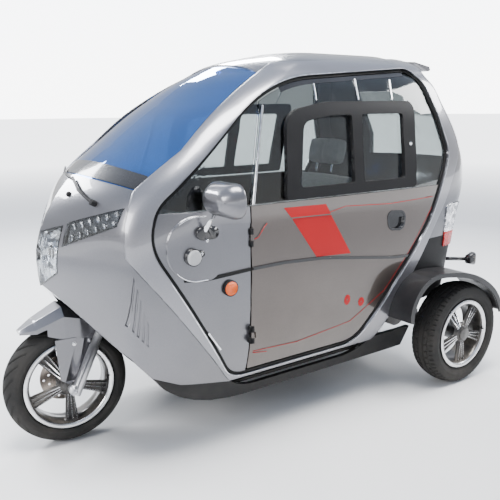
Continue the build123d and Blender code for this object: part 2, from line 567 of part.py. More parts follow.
well_rear = box_between((-WELL_X - 20, -531, 0), (WELL_X + 20, 0, 255))
nodes["wheel_well"] = (well & body_form(WALL + FIT)) - well_rear

# ---------------------------------------------------------------- seats
nodes["driver_seat_cushion"] = box_between((-235, -60, 440.5), (235, 345, 545))
seat_back = box_between((-225, -40, 0), (225, 40, 480))
headrest = box_between((-120, -38, 505), (120, 38, 640))
for side in (-1, 1):
    headrest += Pos(side * 55, 0, 490) * Cylinder(6, 60)
nodes["driver_seat_back"] = Pos(0, 330, 548.6) * Rot(-12, 0, 0) * (seat_back + headrest)
bench = box_between((-330, 500, DECK_Z + TUBE_R + FIT), (330, 760, 600))
bench_back = Pos(0, 760 + FIT, 600 + FIT) * Rot(-8, 0, 0) * box_between((-320, 0, 0), (320, 60, 330))
nodes["rear_bench"] = bench + (bench_back & lining)

# ---------------------------------------------------------------- steering assembly
FORK_X = 106.0
FORK_R = 17.0
SLIDER_R = 20.0
CROWN_ALONG = 395.0
AXLE_R = 8.0
BAR_ALONG = 862.0
BAR_HALF = 290.0
GRIP_LENGTH = 115.0


def steered(shape):
    """Turn a straight-ahead piece about the raked steering axis to where it stands at rest."""
    return shape.rotate(Axis(steer_foot, steer_up), STEER_AT_REST)


leg_back = LEG_TRAIL - FORK_OFFSET
fork = Part()
for side in (-1, 1):
    leg = side * FORK_X
    fork += tube_between(on_steer(-16, leg_back, leg), on_steer(185, leg_back, leg), SLIDER_R)
    fork += tube_between(on_steer(180, leg_back, leg), on_steer(CROWN_ALONG + 34, leg_back, leg), FORK_R)
    fork += Pos(leg, FRONT_AXLE_Y, FRONT_TYRE_R) * Rot(0, 90, 0) * Cylinder(19, 34)
    fork += tube_between(on_steer(0, leg_back, leg), on_steer(0, -FORK_OFFSET, leg), 15)
crown_plane = Plane(origin=Vector(*on_steer(CROWN_ALONG, leg_back / 2)), x_dir=(1, 0, 0), z_dir=steer_up)
fork += extrude(crown_plane * RectangleRounded(2 * FORK_X + 46, 60, 18), amount=30)
fork += tube_between(on_steer(CROWN_ALONG), on_steer(BAR_ALONG), STEM_R)
fork += tube_between((-FORK_X - 26, FRONT_AXLE_Y, FRONT_TYRE_R), (FORK_X + 26, FRONT_AXLE_Y, FRONT_TYRE_R),
                     AXLE_R)
nodes["fork"] = steered(fork)

bar_along = BAR_ALONG - 14
bar = tube_between(on_steer(bar_along, 0, -BAR_HALF), on_steer(bar_along, 0, BAR_HALF), 11)
bar += tube_between(on_steer(bar_along, 0, -30), on_steer(bar_along, 0, 30), 26)
for side in (-1, 1):
    grip_start = side * (BAR_HALF - GRIP_LENGTH)
    bar += tube_between(on_steer(bar_along, 0, grip_start), on_steer(bar_along, 0, side * BAR_HALF), 16)
    bar += tube_between(on_steer(bar_along, -34, grip_start - side * 30),
                        on_steer(bar_along, -52, side * (BAR_HALF - 15)), 6)
    bar += Pos(*on_steer(bar_along, -14, grip_start - side * 24)) * Box(34, 56, 34)
dial_plane = Plane(origin=Vector(*on_steer(bar_along + 8, -34)), x_dir=(1, 0, 0), z_dir=steer_up)
bar += extrude(dial_plane * RectangleRounded(170, 84, 34), amount=44, taper=12)
clamp_bore = tube_between(on_steer(HEAD_HIGH), on_steer(BAR_ALONG + FIT), STEM_R + FIT)
nodes["handlebar"] = steered(bar - clamp_bore)

# Front fender: folded facets over the tyre, lofted from the tip back.  Heights are above the tyre's top.
#  y from axle, half width low, half width top, skirt, shoulder, crown
FENDER_SECTIONS = [
    (-168, 34, 16, -12, -6, 0),
    (-112, 66, 38, -10, 6, 32),
    (-10, 92, 54, -46, 48, 80),
    (50, 92, 54, -50, 32, 62),
    (88, 85, 52, -50, 20, 48),
    (134, 84, 48, -60, -26, 6),
]
FENDER_WALL = 4.0
TYRE_CLEAR = 14.0
FRONT_HALF_W = 62.0
tyre_top = FRONT_TYRE_R * 2


def fender_form(wall):
    sections = []
    for y, low_w, top_w, skirt, shoulder, crown in FENDER_SECTIONS:
        low_w = low_w - wall
        top_w = top_w - 0.6 * wall
        skirt = tyre_top + skirt - (40 if wall > 0 else 0)
        shoulder = tyre_top + shoulder - wall
        crown = tyre_top + crown - wall
        outline = Polyline((-low_w, skirt), (-low_w, shoulder), (-top_w, crown), (top_w, crown),
                           (low_w, shoulder), (low_w, skirt), close=True)
        place_y = FRONT_AXLE_Y + y + (0.8 * wall if y < 0 else 0)
        plane = Plane(origin=(0, place_y, 0), x_dir=(1, 0, 0), z_dir=(0, -1, 0))
        sections.append(plane * make_face(outline))
    return loft(sections, ruled=True)


fender = fender_form(0) - fender_form(FENDER_WALL)
tyre_space = Cylinder(FRONT_TYRE_R + TYRE_CLEAR, 2 * (FRONT_HALF_W + TYRE_CLEAR))
fender = fender - Pos(*axle_front) * Rot(0, 90, 0) * tyre_space
leg_x = FORK_X - SLIDER_R - FIT
BRACKET_T = 5.0
skirt_z = FRONT_TYRE_R * 2 - 44
# Brackets: a blade beside each fork leg, folded outwards ahead of it.
BLADE = [(-52, skirt_z + 4), (-42, FRONT_TYRE_R + 42), (-8, FRONT_TYRE_R + 14), (22, FRONT_TYRE_R + 30),
         (118, skirt_z - 4), (128, skirt_z + 4)]
FOLD = [(-52, skirt_z + 4), (-42, FRONT_TYRE_R + 42), (-26, FRONT_TYRE_R + 30), (30, skirt_z - 6),
        (30, skirt_z + 4)]
blade = side_prism([(FRONT_AXLE_Y + y, z) for y, z in BLADE], inner_x=leg_x - BRACKET_T, outer_x=leg_x)
fold = side_prism([(FRONT_AXLE_Y + y, z) for y, z in FOLD], inner_x=leg_x - BRACKET_T, outer_x=leg_x + 9)
leg_space = tube_between(on_steer(-40, leg_back, FORK_X), on_steer(CROWN_ALONG, leg_back, FORK_X),
                         SLIDER_R + FIT)
fender = fender + on_both(blade + (fold - leg_space))
nodes["front_fender"] = steered(fender)


# ---------------------------------------------------------------- wheels
FRONT_BEAD_R = 165.0
FRONT_RIM_HALF = 46.0
FRONT_FLANGE_R = 179.0
REAR_HALF_W = 66.0
REAR_BEAD_R = 152.0
REAR_RIM_HALF = 50.0
REAR_FLANGE_R = 167.0
REAR_AXLE_R = 14.0
HUB_PROUD = 4.0        # hub ends beyond the rim's bead seats
SPOKES = 5
LUG_NUTS = 5


def tyre(radius, half_width, bead_r, rim_half, flange_r, crown):
    """Tyre turned about Z.  crown is how far the tread's edge lies below its middle: round or square."""
    bulge = (flange_r + 3 + radius - crown) / 2
    edge = (radius - crown, half_width - 6)
    half = [((bead_r, rim_half - 10), None, (bead_r, rim_half)),
            ((bead_r, rim_half), None, (flange_r + 2, rim_half)),
            ((flange_r + 2, rim_half), (bulge - 6, half_width), edge)]
    edges = [Line((bead_r, 10 - rim_half), (bead_r, rim_half - 10)),
             ThreePointArc((edge[0], -edge[1]), (radius, 0), edge)]
    for side in (1, -1):
        for start, middle, end in half:
            a = (start[0], side * start[1])
            b = (end[0], side * end[1])
            if middle is None:
                edges.append(Line(a, b))
            else:
                edges.append(ThreePointArc(a, (middle[0], side * middle[1]), b))
    return revolve(Plane.XZ * make_face(Wire(Curve(children=edges).edges())), axis=Axis.Z)


def rim(bead_r, rim_half, flange_r, hub_r, bore_r, face):
    """Cast wheel turned about Z.  Each spoke is a web with three machined ribs; face is the ribs' height."""
    seat = bead_r - FIT
    profile = Polyline((seat - 8, -rim_half - 9), (flange_r - 4, -rim_half - 9), (flange_r, -rim_half - 5),
                       (flange_r, -rim_half - FIT), (seat, -rim_half - FIT), (seat, rim_half + FIT),
                       (flange_r, rim_half + FIT), (flange_r, rim_half + 9), (flange_r - 5, rim_half + 13),
                       (seat - 1, rim_half + 10), (seat - 8, rim_half), (seat - 16, 12),
                       (seat - 10, -20), close=True)
    wheel = revolve(Plane.XZ * make_face(profile), axis=Axis.Z)
    wheel += Cylinder(hub_r, 2 * (rim_half + HUB_PROUD))
    wheel += Pos(0, 0, face - 8) * Cone(hub_r + 12, hub_r - 4, 16)
    length = seat - 12 - hub_r + 6
    web_outline = Polyline((hub_r - 6, -15), (seat - 10, -26), (seat - 10, 26), (hub_r - 6, 15), close=True)
    web = extrude(Plane.XY.offset(face - 18) * make_face(web_outline), amount=12)
    splay = math.degrees(math.atan2(12, length))
    spoke = web
    for step in (-1, 0, 1):
        rib = Rot(0, 0, splay * step) * Pos(length / 2, 0, 0) * Box(length, 5, 9)
        spoke += Pos(hub_r - 6, 8 * step, face - 4) * rib
    for i in range(SPOKES):
        wheel += Rot(0, 0, 360 / SPOKES * i) * spoke
    for i in range(LUG_NUTS):
        wheel += Rot(0, 0, 360 / LUG_NUTS * (i + 0.5)) * Pos(hub_r - 13, 0, face + 2) * Cylinder(7, 8)
    return wheel - Cylinder(bore_r, 4 * rim_half + 60)


def wheel_at(shape, x, y, z):
    return Pos(x, y, z) * Rot(0, 90, 0) * shape


front_tyre = tyre(FRONT_TYRE_R, FRONT_HALF_W, FRONT_BEAD_R, FRONT_RIM_HALF, FRONT_FLANGE_R, 28)
front_rim = rim(FRONT_BEAD_R, FRONT_RIM_HALF, FRONT_FLANGE_R, 38, AXLE_R + FIT, 44)
nodes["front_tyre"] = steered(wheel_at(front_tyre, 0, FRONT_AXLE_Y, FRONT_TYRE_R))
nodes["front_rim"] = steered(wheel_at(front_rim, 0, FRONT_AXLE_Y, FRONT_TYRE_R))
DISC_T = 5.0
DISC_R = 95.0
DISC_HOLES = 10
DISC_X = -(FRONT_RIM_HALF + HUB_PROUD + FIT + DISC_T / 2)
disc = Cylinder(DISC_R, DISC_T) - Cylinder(20, 10)
for i in range(DISC_HOLES):
    for ring_r, shift in ((62, 0), (80, 0.5)):
        disc -= Rot(0, 0, 360 / DISC_HOLES * (i + shift)) * Pos(ring_r, 0, 0) * Cylinder(5, 10)
nodes["brake_disc"] = steered(wheel_at(disc, DISC_X, FRONT_AXLE_Y, FRONT_TYRE_R))
pad_x = leg_x - BRACKET_T - FIT
caliper = box_between((-pad_x, FRONT_AXLE_Y + 62, FRONT_TYRE_R + 20),
                      (-40, FRONT_AXLE_Y + 108, FRONT_TYRE_R + 84))
caliper = chamfer(caliper.edges().filter_by(Axis.X), 9)
caliper += box_between((-pad_x, FRONT_AXLE_Y + 20, FRONT_TYRE_R + 46),
                       (-pad_x + 8, FRONT_AXLE_Y + 70, FRONT_TYRE_R + 74))
caliper = caliper - wheel_at(Cylinder(DISC_R + 6, 12), DISC_X, FRONT_AXLE_Y, FRONT_TYRE_R)
nodes["brake_caliper"] = steered(caliper)
rear_tyre = tyre(REAR_TYRE_R, REAR_HALF_W, REAR_BEAD_R, REAR_RIM_HALF, REAR_FLANGE_R, 13)
rear_rim = rim(REAR_BEAD_R, REAR_RIM_HALF, REAR_FLANGE_R, 42, REAR_AXLE_R + FIT, 50)
for side, word in ((1, "left"), (-1, "right")):
    turn = Rot(0 if side > 0 else 180, 0, 0)
    x = side * REAR_HALF_TRACK
    nodes["rear_tyre_" + word] = wheel_at(turn * rear_tyre, x, REAR_AXLE_Y, REAR_TYRE_R)
    nodes["rear_rim_" + word] = wheel_at(turn * rear_rim, x, REAR_AXLE_Y, REAR_TYRE_R)

# ---------------------------------------------------------------- rear axle
SPRING_FOOT = REAR_TYRE_R + 38
SPRING_HEAD = DECK_Z - TUBE_R - FIT
COILS = 6
axle = tube_between((-REAR_HALF_TRACK - 62, REAR_AXLE_Y, REAR_TYRE_R), (REAR_HALF_TRACK + 62, REAR_AXLE_Y,
                                                                        REAR_TYRE_R), REAR_AXLE_R)
axle += tube_between((-430, REAR_AXLE_Y, REAR_TYRE_R), (430, REAR_AXLE_Y, REAR_TYRE_R), 30)
axle += Pos(-40, REAR_AXLE_Y, REAR_TYRE_R) * Rot(0, 90, 0) * Cylinder(88, 110)
axle += tube_between((10, REAR_AXLE_Y, REAR_TYRE_R), (170, REAR_AXLE_Y, REAR_TYRE_R), 76)
springs = Part()
for side in (-1, 1):
    axle += box_between((side * RAIL_X - 34, REAR_AXLE_Y - 34, REAR_TYRE_R),
                        (side * RAIL_X + 34, REAR_AXLE_Y + 34, SPRING_FOOT - FIT))
    damper = Cylinder(21, SPRING_HEAD - SPRING_FOOT)
    springs += Pos(side * RAIL_X, REAR_AXLE_Y, (SPRING_FOOT + SPRING_HEAD) / 2) * damper
    for i in range(COILS):
        pitch = (SPRING_HEAD - SPRING_FOOT - 14) / (COILS - 1)
        springs += Pos(side * RAIL_X, REAR_AXLE_Y, SPRING_FOOT + 7 + pitch * i) * Torus(25, 6)
nodes["rear_axle_and_motor"] = axle
nodes["rear_springs"] = springs

# Rear fenders: black arches with a turned-down side, steep in front and low over the tyre behind.
# degrees up from straight back, clearance over the tyre
FENDER_ARCH = [(161, 187), (148, 211), (134, 197), (113, 112), (92, 60), (70, 34), (42, 30), (16, 31)]
FENDER_T = 8.0
FENDER_IN_X = 420.0
FENDER_OUT_X = REAR_HALF_TRACK + REAR_HALF_W + 15
FENDER_SIDE = 26.0


def arch_point(degrees, clearance):
    angle = math.radians(degrees)
    reach = REAR_TYRE_R + clearance
    return (REAR_AXLE_Y + reach * math.cos(angle), REAR_TYRE_R + reach * math.sin(angle))


def arch_block(depth, inner_x, outer_x):
    """Band under the arch line, depth thick towards the axle, between two distances from the centre."""
    over = Spline(*[arch_point(degrees, clearance) for degrees, clearance in FENDER_ARCH])
    under = Spline(*[arch_point(degrees, clearance - depth) for degrees, clearance in reversed(FENDER_ARCH)])
    outline = Wire([over, Line(over @ 1, under @ 0), under, Line(under @ 1, over @ 0)])
    return extrude(Plane.YZ.offset(inner_x) * make_face(outline), amount=outer_x - inner_x)


arch = arch_block(FENDER_T, FENDER_IN_X, FENDER_OUT_X)
arch += arch_block(FENDER_SIDE, FENDER_OUT_X - 8, FENDER_OUT_X)
nodes["rear_fenders"] = on_both(arch - body_form(-HOOP_PROUD - FIT))

folder = "parts"
os.makedirs(folder, exist_ok=True)
for name, shape in nodes.items():
    export_step(shape, f"{folder}/{name}.step")
    box = shape.bounding_box()
    print(name, len(shape.solids()), round(shape.volume / 1e6, 2), [round(v) for v in (*box.min, *box.max)])
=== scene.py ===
import bpy
import bmesh
import json
import math
import numpy as np
from mathutils import Matrix, Vector

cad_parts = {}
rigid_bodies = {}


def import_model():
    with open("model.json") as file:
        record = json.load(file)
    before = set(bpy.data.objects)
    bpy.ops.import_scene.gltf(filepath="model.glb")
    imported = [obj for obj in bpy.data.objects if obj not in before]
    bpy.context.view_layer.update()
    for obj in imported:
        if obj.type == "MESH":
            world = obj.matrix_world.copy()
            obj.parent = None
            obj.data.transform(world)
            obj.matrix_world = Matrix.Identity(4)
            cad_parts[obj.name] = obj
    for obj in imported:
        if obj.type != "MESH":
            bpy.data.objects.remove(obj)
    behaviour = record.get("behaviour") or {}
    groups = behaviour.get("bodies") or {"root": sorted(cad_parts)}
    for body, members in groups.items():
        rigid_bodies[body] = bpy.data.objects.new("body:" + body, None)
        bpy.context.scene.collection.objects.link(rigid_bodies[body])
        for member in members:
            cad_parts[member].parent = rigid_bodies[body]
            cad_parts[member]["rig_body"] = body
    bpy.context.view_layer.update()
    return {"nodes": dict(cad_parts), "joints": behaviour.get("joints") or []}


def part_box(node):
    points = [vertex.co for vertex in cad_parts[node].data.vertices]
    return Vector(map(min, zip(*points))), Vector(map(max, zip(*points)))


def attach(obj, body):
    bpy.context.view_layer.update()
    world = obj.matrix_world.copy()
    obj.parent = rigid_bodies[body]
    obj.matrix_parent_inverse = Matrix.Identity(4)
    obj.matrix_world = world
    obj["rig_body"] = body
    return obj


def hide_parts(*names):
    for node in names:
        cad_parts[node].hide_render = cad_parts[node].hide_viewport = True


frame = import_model()

# ---- Camera: it stands ahead of the left front corner, a little above the belt line, and looks slightly
# down at the cabin. Its roll is that of a camera held by hand.
yaw, pitch, roll = math.radians(55.69), math.radians(12.69), math.radians(-0.59)
forward = Vector((-math.sin(yaw) * math.cos(pitch), math.cos(yaw) * math.cos(pitch), -math.sin(pitch)))
CAMERA_PLACE = (2.363, -1.639, 1.305)
AIM_OFF = (1.3 / 623.3, 1.4 / 623.3)     # how far the aim lies to the right of and above the way ahead
level_right = Vector((math.cos(yaw), math.sin(yaw), 0.0))
level_up = level_right.cross(forward)
right = math.cos(roll) * level_right + math.sin(roll) * level_up
up = math.cos(roll) * level_up - math.sin(roll) * level_right
aim = (forward + right * AIM_OFF[0] + up * AIM_OFF[1]).normalized()
aim_right = (right - aim * right.dot(aim)).normalized()
camera = bpy.data.objects.new("camera", bpy.data.cameras.new("camera"))
camera.data.lens = 44.88
camera.data.sensor_width = 36.0
camera.matrix_world = Matrix.Translation(CAMERA_PLACE) @ Matrix(
    (aim_right, aim_right.cross(aim), -aim)).transposed().to_4x4()
bpy.context.scene.collection.objects.link(camera)
bpy.context.scene.camera = camera

# ---- Studio: a plain pale floor under an even, slightly blue sky, with five soft boxes. The largest hangs
# over the roof, two stand on the right, one ahead and one behind.
def feed(tree, node, sockets):
    """Gives a node its inputs by name or number, each a value or the output that feeds it."""
    for key, value in sockets.items():
        if isinstance(value, bpy.types.NodeSocket):
            tree.links.new(value, node.inputs[key])
        else:
            colour = node.inputs[key].type == "RGBA"
            node.inputs[key].default_value = (*value, 1) if colour else value
    return node


def node_in(tree, kind, sockets=None, **settings):
    """Adds a shader node with its settings and inputs."""
    node = tree.nodes.new("ShaderNode" + kind)
    for key, value in settings.items():
        setattr(node, key, value)
    return feed(tree, node, sockets or {})


def maths(tree, operation, *values, **settings):
    """Result of an operation on numbers."""
    return node_in(tree, "Math", dict(enumerate(values)), operation=operation, **settings).outputs[0]


def vectors(tree, operation, *values, **sockets):
    """Result of an operation on vectors."""
    node = node_in(tree, "VectorMath", {**dict(enumerate(values)), **sockets}, operation=operation)
    return node.outputs["Value" if operation in ("DOT_PRODUCT", "LENGTH") else "Vector"]


def part_of(tree, vector, axis):
    return node_in(tree, "SeparateXYZ", {0: vector}).outputs[axis]


def object_place(tree):
    return node_in(tree, "TexCoord").outputs["Object"]


def noise(tree, place, scale, detail, **sockets):
    """Cloudy pattern over a place, from 0 to 1."""
    sockets = {"Vector": place, "Scale": scale, "Detail": detail, **sockets}
    return node_in(tree, "TexNoise", sockets).outputs["Fac"]


def blend_colours(tree, share, first, second):
    """Colour that goes from first to second as share goes from 0 to 1."""
    return node_in(tree, "Mix", {0: share, 6: first, 7: second}, data_type="RGBA").outputs[2]


def spread(tree, value, low, high, start=0.0, end=1.0):
    """Value stretched from low..high to start..end and held at the ends."""
    return node_in(tree, "MapRange", {"Value": value, "From Min": low, "From Max": high, "To Min": start,
                                      "To Max": end}).outputs["Result"]


def bump(tree, height, strength, distance, **sockets):
    """Normal that follows a height."""
    sockets = {"Height": height, "Strength": strength, "Distance": distance, **sockets}
    return node_in(tree, "Bump", sockets).outputs[0]


def new_finish(name):
    """Material and its node tree."""
    finish = bpy.data.materials.new(name)
    finish.use_nodes = True
    return finish, finish.node_tree


def finished(finish, sockets):
    """Feeds a material's shader and returns the material."""
    feed(finish.node_tree, finish.node_tree.nodes["Principled BSDF"], sockets)
    return finish


floor = bpy.data.objects.new("floor", bpy.data.meshes.new("floor"))
floor.data.from_pydata([(-150, -150, 0), (150, -150, 0), (150, 150, 0), (-150, 150, 0)], [], [(0, 1, 2, 3)])
bpy.context.scene.collection.objects.link(floor)
pale_floor, tree = new_finish("pale_floor")
place = object_place(tree)
floor.data.materials.append(finished(pale_floor, {
    "Base Color": blend_colours(tree, noise(tree, place, 1.5, 4.0), (0.72, 0.72, 0.72), (0.77, 0.77, 0.765)),
    "Emission Strength": spread(tree, vectors(tree, "LENGTH", place), 5.0, 14.0, 0.0, 3.2),
    "Roughness": 0.75}))

world = bpy.data.worlds.new("studio")
world.use_nodes = True
tree = world.node_tree
height = part_of(tree, node_in(tree, "TexCoord").outputs["Generated"], "Z")
seen = node_in(tree, "LightPath").outputs["Is Camera Ray"]
feed(tree, tree.nodes["Background"], {
    "Color": blend_colours(tree, spread(tree, height, 0.05, 0.75), (0.95, 0.955, 0.965), (0.62, 0.74, 0.97)),
    "Strength": spread(tree, seen, 0.0, 1.0, 1.0, 8.0)})
bpy.context.scene.world = world
#        place,            width, height, power, colour
LAMPS = [((1.0, -0.4, 4.8), 3.2, 2.2, 520, (1.0, 0.99, 0.97)),
         ((-4.2, -2.4, 3.5), 2.8, 1.2, 420, (0.95, 0.97, 1.0)),
         ((-3.2, 1.5, 3.2), 1.6, 0.9, 220, (0.95, 0.97, 1.0)),
         ((0.8, -4.8, 2.6), 1.6, 1.6, 130, (1.0, 0.99, 0.98)),
         ((1.2, 3.9, 3.0), 2.0, 1.2, 130, (1.0, 1.0, 1.0))]
for spot, width, height, power, colour in LAMPS:
    lamp = bpy.data.objects.new("soft_box", bpy.data.lights.new("soft_box", "AREA"))
    lamp.data.shape = "RECTANGLE"
    lamp.data.size = width
    lamp.data.size_y = height
    lamp.data.energy = power
    lamp.data.color = colour
    lamp.location = spot
    lamp.rotation_euler = (Vector((0, 0, 0.8)) - Vector(spot)).to_track_quat("-Z", "Y").to_euler()
    bpy.context.scene.collection.objects.link(lamp)

# ---- Body shell: moulded fibreglass panels, sprayed silver-grey over a grey primer and lacquered. Each panel
# is bolted to the frame from inside, and thin seams show between them.
# Plan outlines of the shell in millimetres, from the sill up to the roof.
#   height, nose,  bow,  corner x, y,  side,  rear x, y,  tail
SHELL = [
    (170, -930, 0.46, 330, -800, 394, 380, 760, 840),
    (340, -960, 0.46, 392, -810, 468, 438, 800, 900),
    (600, -990, 0.46, 420, -815, 499, 456, 850, 990),
    (800, -1000, 0.46, 425, -812, 503, 470, 870, 1045),
    (930, -955, 0.42, 405, -802, 501, 471, 905, 1130),
    (1050, -868, 0.30, 378, -742, 489, 464, 900, 1158),
    (1174, -700, 0.25, 416, -575, 466, 446, 855, 1135),
    (1328, -487, 0.25, 377, -385, 430, 404, 800, 1010),
    (1453, -285, 0.25, 308, -165, 362, 336, 765, 900),
    (1515, -125, 0.25, 232, -40, 290, 262, 715, 825),
    (1550, 60, 0.25, 150, 110, 182, 160, 620, 720),
]
SHELL_Z = np.array([row[0] for row in SHELL], float)
STEPS = (16, 14, 12, 14, 16)     # points on the nose, front corner, side, rear corner and tail
SIDE_END = 480.0                 # the side runs straight back to here
CORNER_ROUNDING = 3       # passes that take the kink out of the front and rear corners
PANEL_EDGE = 0.0022       # rounding of a panel's edge


def arc(start, middle, end, steps):
    """Points of the circle's arc through three points of the plan."""
    a, b, c = (complex(*p) for p in (start, middle, end))
    w = (c - a) / (b - a)
    centre = (b - a) * (w - abs(w) ** 2) / (2j * w.imag) + a
    turn = np.angle((c - centre) / (a - centre))
    sweep = np.exp(1j * turn * np.arange(steps) / steps)
    points = centre + (a - centre) * sweep
    return list(zip(points.real, points.imag))


def plan(row):
    """Half outline of one row of the table, from the nose to the tail."""
    nose, bow, corner_x, corner_y, side, rear_x, rear_y, tail = row[1:]
    shoulder = (side, max(-560.0, corner_y + 90))
    points = arc((0, nose), (corner_x / 2, nose + bow * (corner_y - nose)), (corner_x, corner_y), STEPS[0])
    points += arc((corner_x, corner_y), (corner_x + 0.66 * (side - corner_x),
                                         corner_y + 0.40 * (shoulder[1] - corner_y)), shoulder, STEPS[1])
    points += [(side, shoulder[1] + (SIDE_END - shoulder[1]) * i / STEPS[2]) for i in range(STEPS[2])]
    points += arc((side, SIDE_END), (side - 0.28 * (side - rear_x), SIDE_END + 0.52 * (rear_y - SIDE_END)),
                  (rear_x, rear_y), STEPS[3])
    points += arc((rear_x, rear_y), (0.6 * rear_x, tail - 0.3 * (tail - rear_y)), (0, tail), STEPS[4])
    return points + [(0, tail)]


ruled_plans = np.array([plan(row) for row in SHELL])
smooth_plans = ruled_plans.copy()
for i in range(CORNER_ROUNDING):
    smooth_plans[:, 1:-1] = (smooth_plans[:, :-2] + 2 * smooth_plans[:, 1:-1] + smooth_plans[:, 2:]) / 4
steps = np.diff(SHELL_Z)[:, None, None]
slopes = np.diff(smooth_plans, axis=0) / steps
tangents = np.concatenate([slopes[:1], (slopes[1:] * steps[:-1] + slopes[:-1] * steps[1:])
                           / (steps[1:] + steps[:-1]), slopes[-1:]])


def outlines(heights, smooth):
    """Half outline at each height: straight between the table's rows, or on a smooth curve through them."""
    row = np.clip(np.searchsorted(SHELL_Z, heights) - 1, 0, len(SHELL) - 2)
    gap = (SHELL_Z[row + 1] - SHELL_Z[row])[:, None, None]
    t = np.clip((heights - SHELL_Z[row]) / gap[:, 0, 0], 0, 1)[:, None, None]
    if not smooth:
        return ruled_plans[row] * (1 - t) + ruled_plans[row + 1] * t
    return (smooth_plans[row] * (1 + 2 * t) * (1 - t) ** 2 + smooth_plans[row + 1] * t * t * (3 - 2 * t)
            + tangents[row] * gap * t * (1 - t) ** 2 + tangents[row + 1] * gap * t * t * (t - 1))


AT_ONCE = 6000           # points measured at a time


def from_shell(points, smooth):
    """Distance outside the shell, in plan, of points in millimetres, and the outline's normal there."""
    distance = np.empty(len(points))
    normal = np.empty((len(points), 2))
    for first in range(0, len(points), AT_ONCE):
        some = points[first:first + AT_ONCE]
        here = np.stack([abs(some[:, 0]), some[:, 1]], 1)[:, None]
        line = outlines(some[:, 2], smooth)
        along = line[:, 1:] - line[:, :-1]
        share = np.clip(((here - line[:, :-1]) * along).sum(2) / (along ** 2).sum(2), 0, 1)
        away = here - line[:, :-1] - along * share[:, :, None]
        which = (away ** 2).sum(2).argmin(1)
        pick = np.arange(len(some))
        side = np.stack([along[:, :, 1], -along[:, :, 0]], 2)
        side /= np.linalg.norm(side, axis=2, keepdims=True)
        corner = np.concatenate([side[:, :1], side[:, 1:] + side[:, :-1], side[:, -1:]], 1)
        near = share[pick, which][:, None]
        facing = corner[pick, which] * (1 - near) / np.linalg.norm(corner[pick, which], axis=1)[:, None]
        facing += corner[pick, which + 1] * near / np.linalg.norm(corner[pick, which + 1], axis=1)[:, None]
        facing /= np.linalg.norm(facing, axis=1)[:, None]
        gap = away[pick, which]
        sign = np.sign((gap * side[pick, which]).sum(1))
        distance[first:first + AT_ONCE] = np.linalg.norm(gap, axis=1) * sign
        normal[first:first + AT_ONCE] = facing
    normal[:, 0] *= np.where(points[:, 0] < 0, -1, 1)
    return distance, normal


HINGE_X, HINGE_Y = 508.0, -358.5     # pin line of the doors
HINGE_HEIGHTS = (470.0, 850.0)
KNUCKLE_R, KNUCKLE_HALF = 7.8, 38.0


def settle(points):
    """Moves points in metres with the shell, from its straight-ruled form to the smooth one. The round
    knuckles of the door hinges stay on their pins."""
    points = np.asarray(points, float) * 1000
    ruled = from_shell(points, False)[0]
    smooth, normal = from_shell(points, True)
    from_pin = np.hypot(np.abs(points[:, 0]) - HINGE_X, points[:, 1] - HINGE_Y)
    level = np.abs(points[:, 2][:, None] - HINGE_HEIGHTS).min(1) < KNUCKLE_HALF
    free = np.where(level, np.clip((from_pin - KNUCKLE_R) / 2, 0, 1), 1)
    points[:, :2] += normal * ((ruled - smooth) * free)[:, None]
    return points / 1000


CROWN_FROM = 1500.0      # height from which the roof flattens out


def shell_normals(points):
    """Outward normals of the smooth shell at points in metres."""
    points = np.asarray(points, float) * 1000
    flat = from_shell(points, True)[1]
    above, below = points.copy(), points.copy()
    above[:, 2] = np.minimum(above[:, 2] + 3, SHELL_Z[-1])
    below[:, 2] -= 3
    rise = (from_shell(above, True)[0] - from_shell(below, True)[0]) / (above[:, 2] - below[:, 2])
    normal = np.concatenate([flat, rise[:, None]], 1)
    normal /= np.linalg.norm(normal, axis=1)[:, None]
    top = points.copy()
    top[:, 2] = SHELL_Z[-1]
    flatness = np.clip(0.5 - from_shell(top, True)[0] / 120, 0, 1) * (points[:, 2] > CROWN_FROM)
    normal = normal * (1 - flatness[:, None]) + np.array([0, 0, 1.0]) * flatness[:, None]
    return normal / np.linalg.norm(normal, axis=1)[:, None]


def skin_x(y, z):
    """Half width of the smooth shell at a place of its side, in metres."""
    line = outlines(np.array([z * 1000.0]), True)[0][STEPS[0]:sum(STEPS[:4])]
    return float(np.interp(y * 1000, line[:, 1], line[:, 0])) / 1000


def body_named(node):
    return frame["nodes"][node]["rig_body"]


def new_piece(name, mesh, slot, *finishes):
    """Object for a mesh that is in place, riding with the node of its slot, with its finishes in order."""
    body = body_named(slot)
    piece = bpy.data.objects.new(name, mesh)
    bpy.context.scene.collection.objects.link(piece)
    for finish in finishes:
        mesh.materials.append(finish)
    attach(piece, body)
    return piece


def shaded(mesh, angle=None):
    """Shades a mesh smooth, up to edges of an angle in degrees."""
    mesh.polygons.foreach_set("use_smooth", [True] * len(mesh.polygons))
    if angle:
        mesh.set_sharp_from_angle(angle=math.radians(angle))
    return mesh


def welded(mesh, reach=0.00002):
    """Form to edit, with the mesh's corners joined where they meet."""
    form = bmesh.new()
    form.from_mesh(mesh)
    bmesh.ops.remove_doubles(form, verts=form.verts, dist=reach)
    return form


def written(form, mesh):
    form.to_mesh(mesh)
    form.free()
    return mesh


def cut_across(form, spot, way):
    bmesh.ops.bisect_plane(form, geom=form.verts[:] + form.edges[:] + form.faces[:], dist=0.00001,
                           plane_co=spot, plane_no=way)


def stand_in(node, mesh, finishes, sort):
    """Puts a mesh in a node's place. sort gives a face's finish by number."""
    piece = new_piece(node + "_piece", mesh, node, *finishes)
    if sort:
        for face in mesh.polygons:
            face.material_index = sort(face)
    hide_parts(node)
    return piece


ON_SKIN = 0.86           # faces along the shell, by this much or more, take its normals


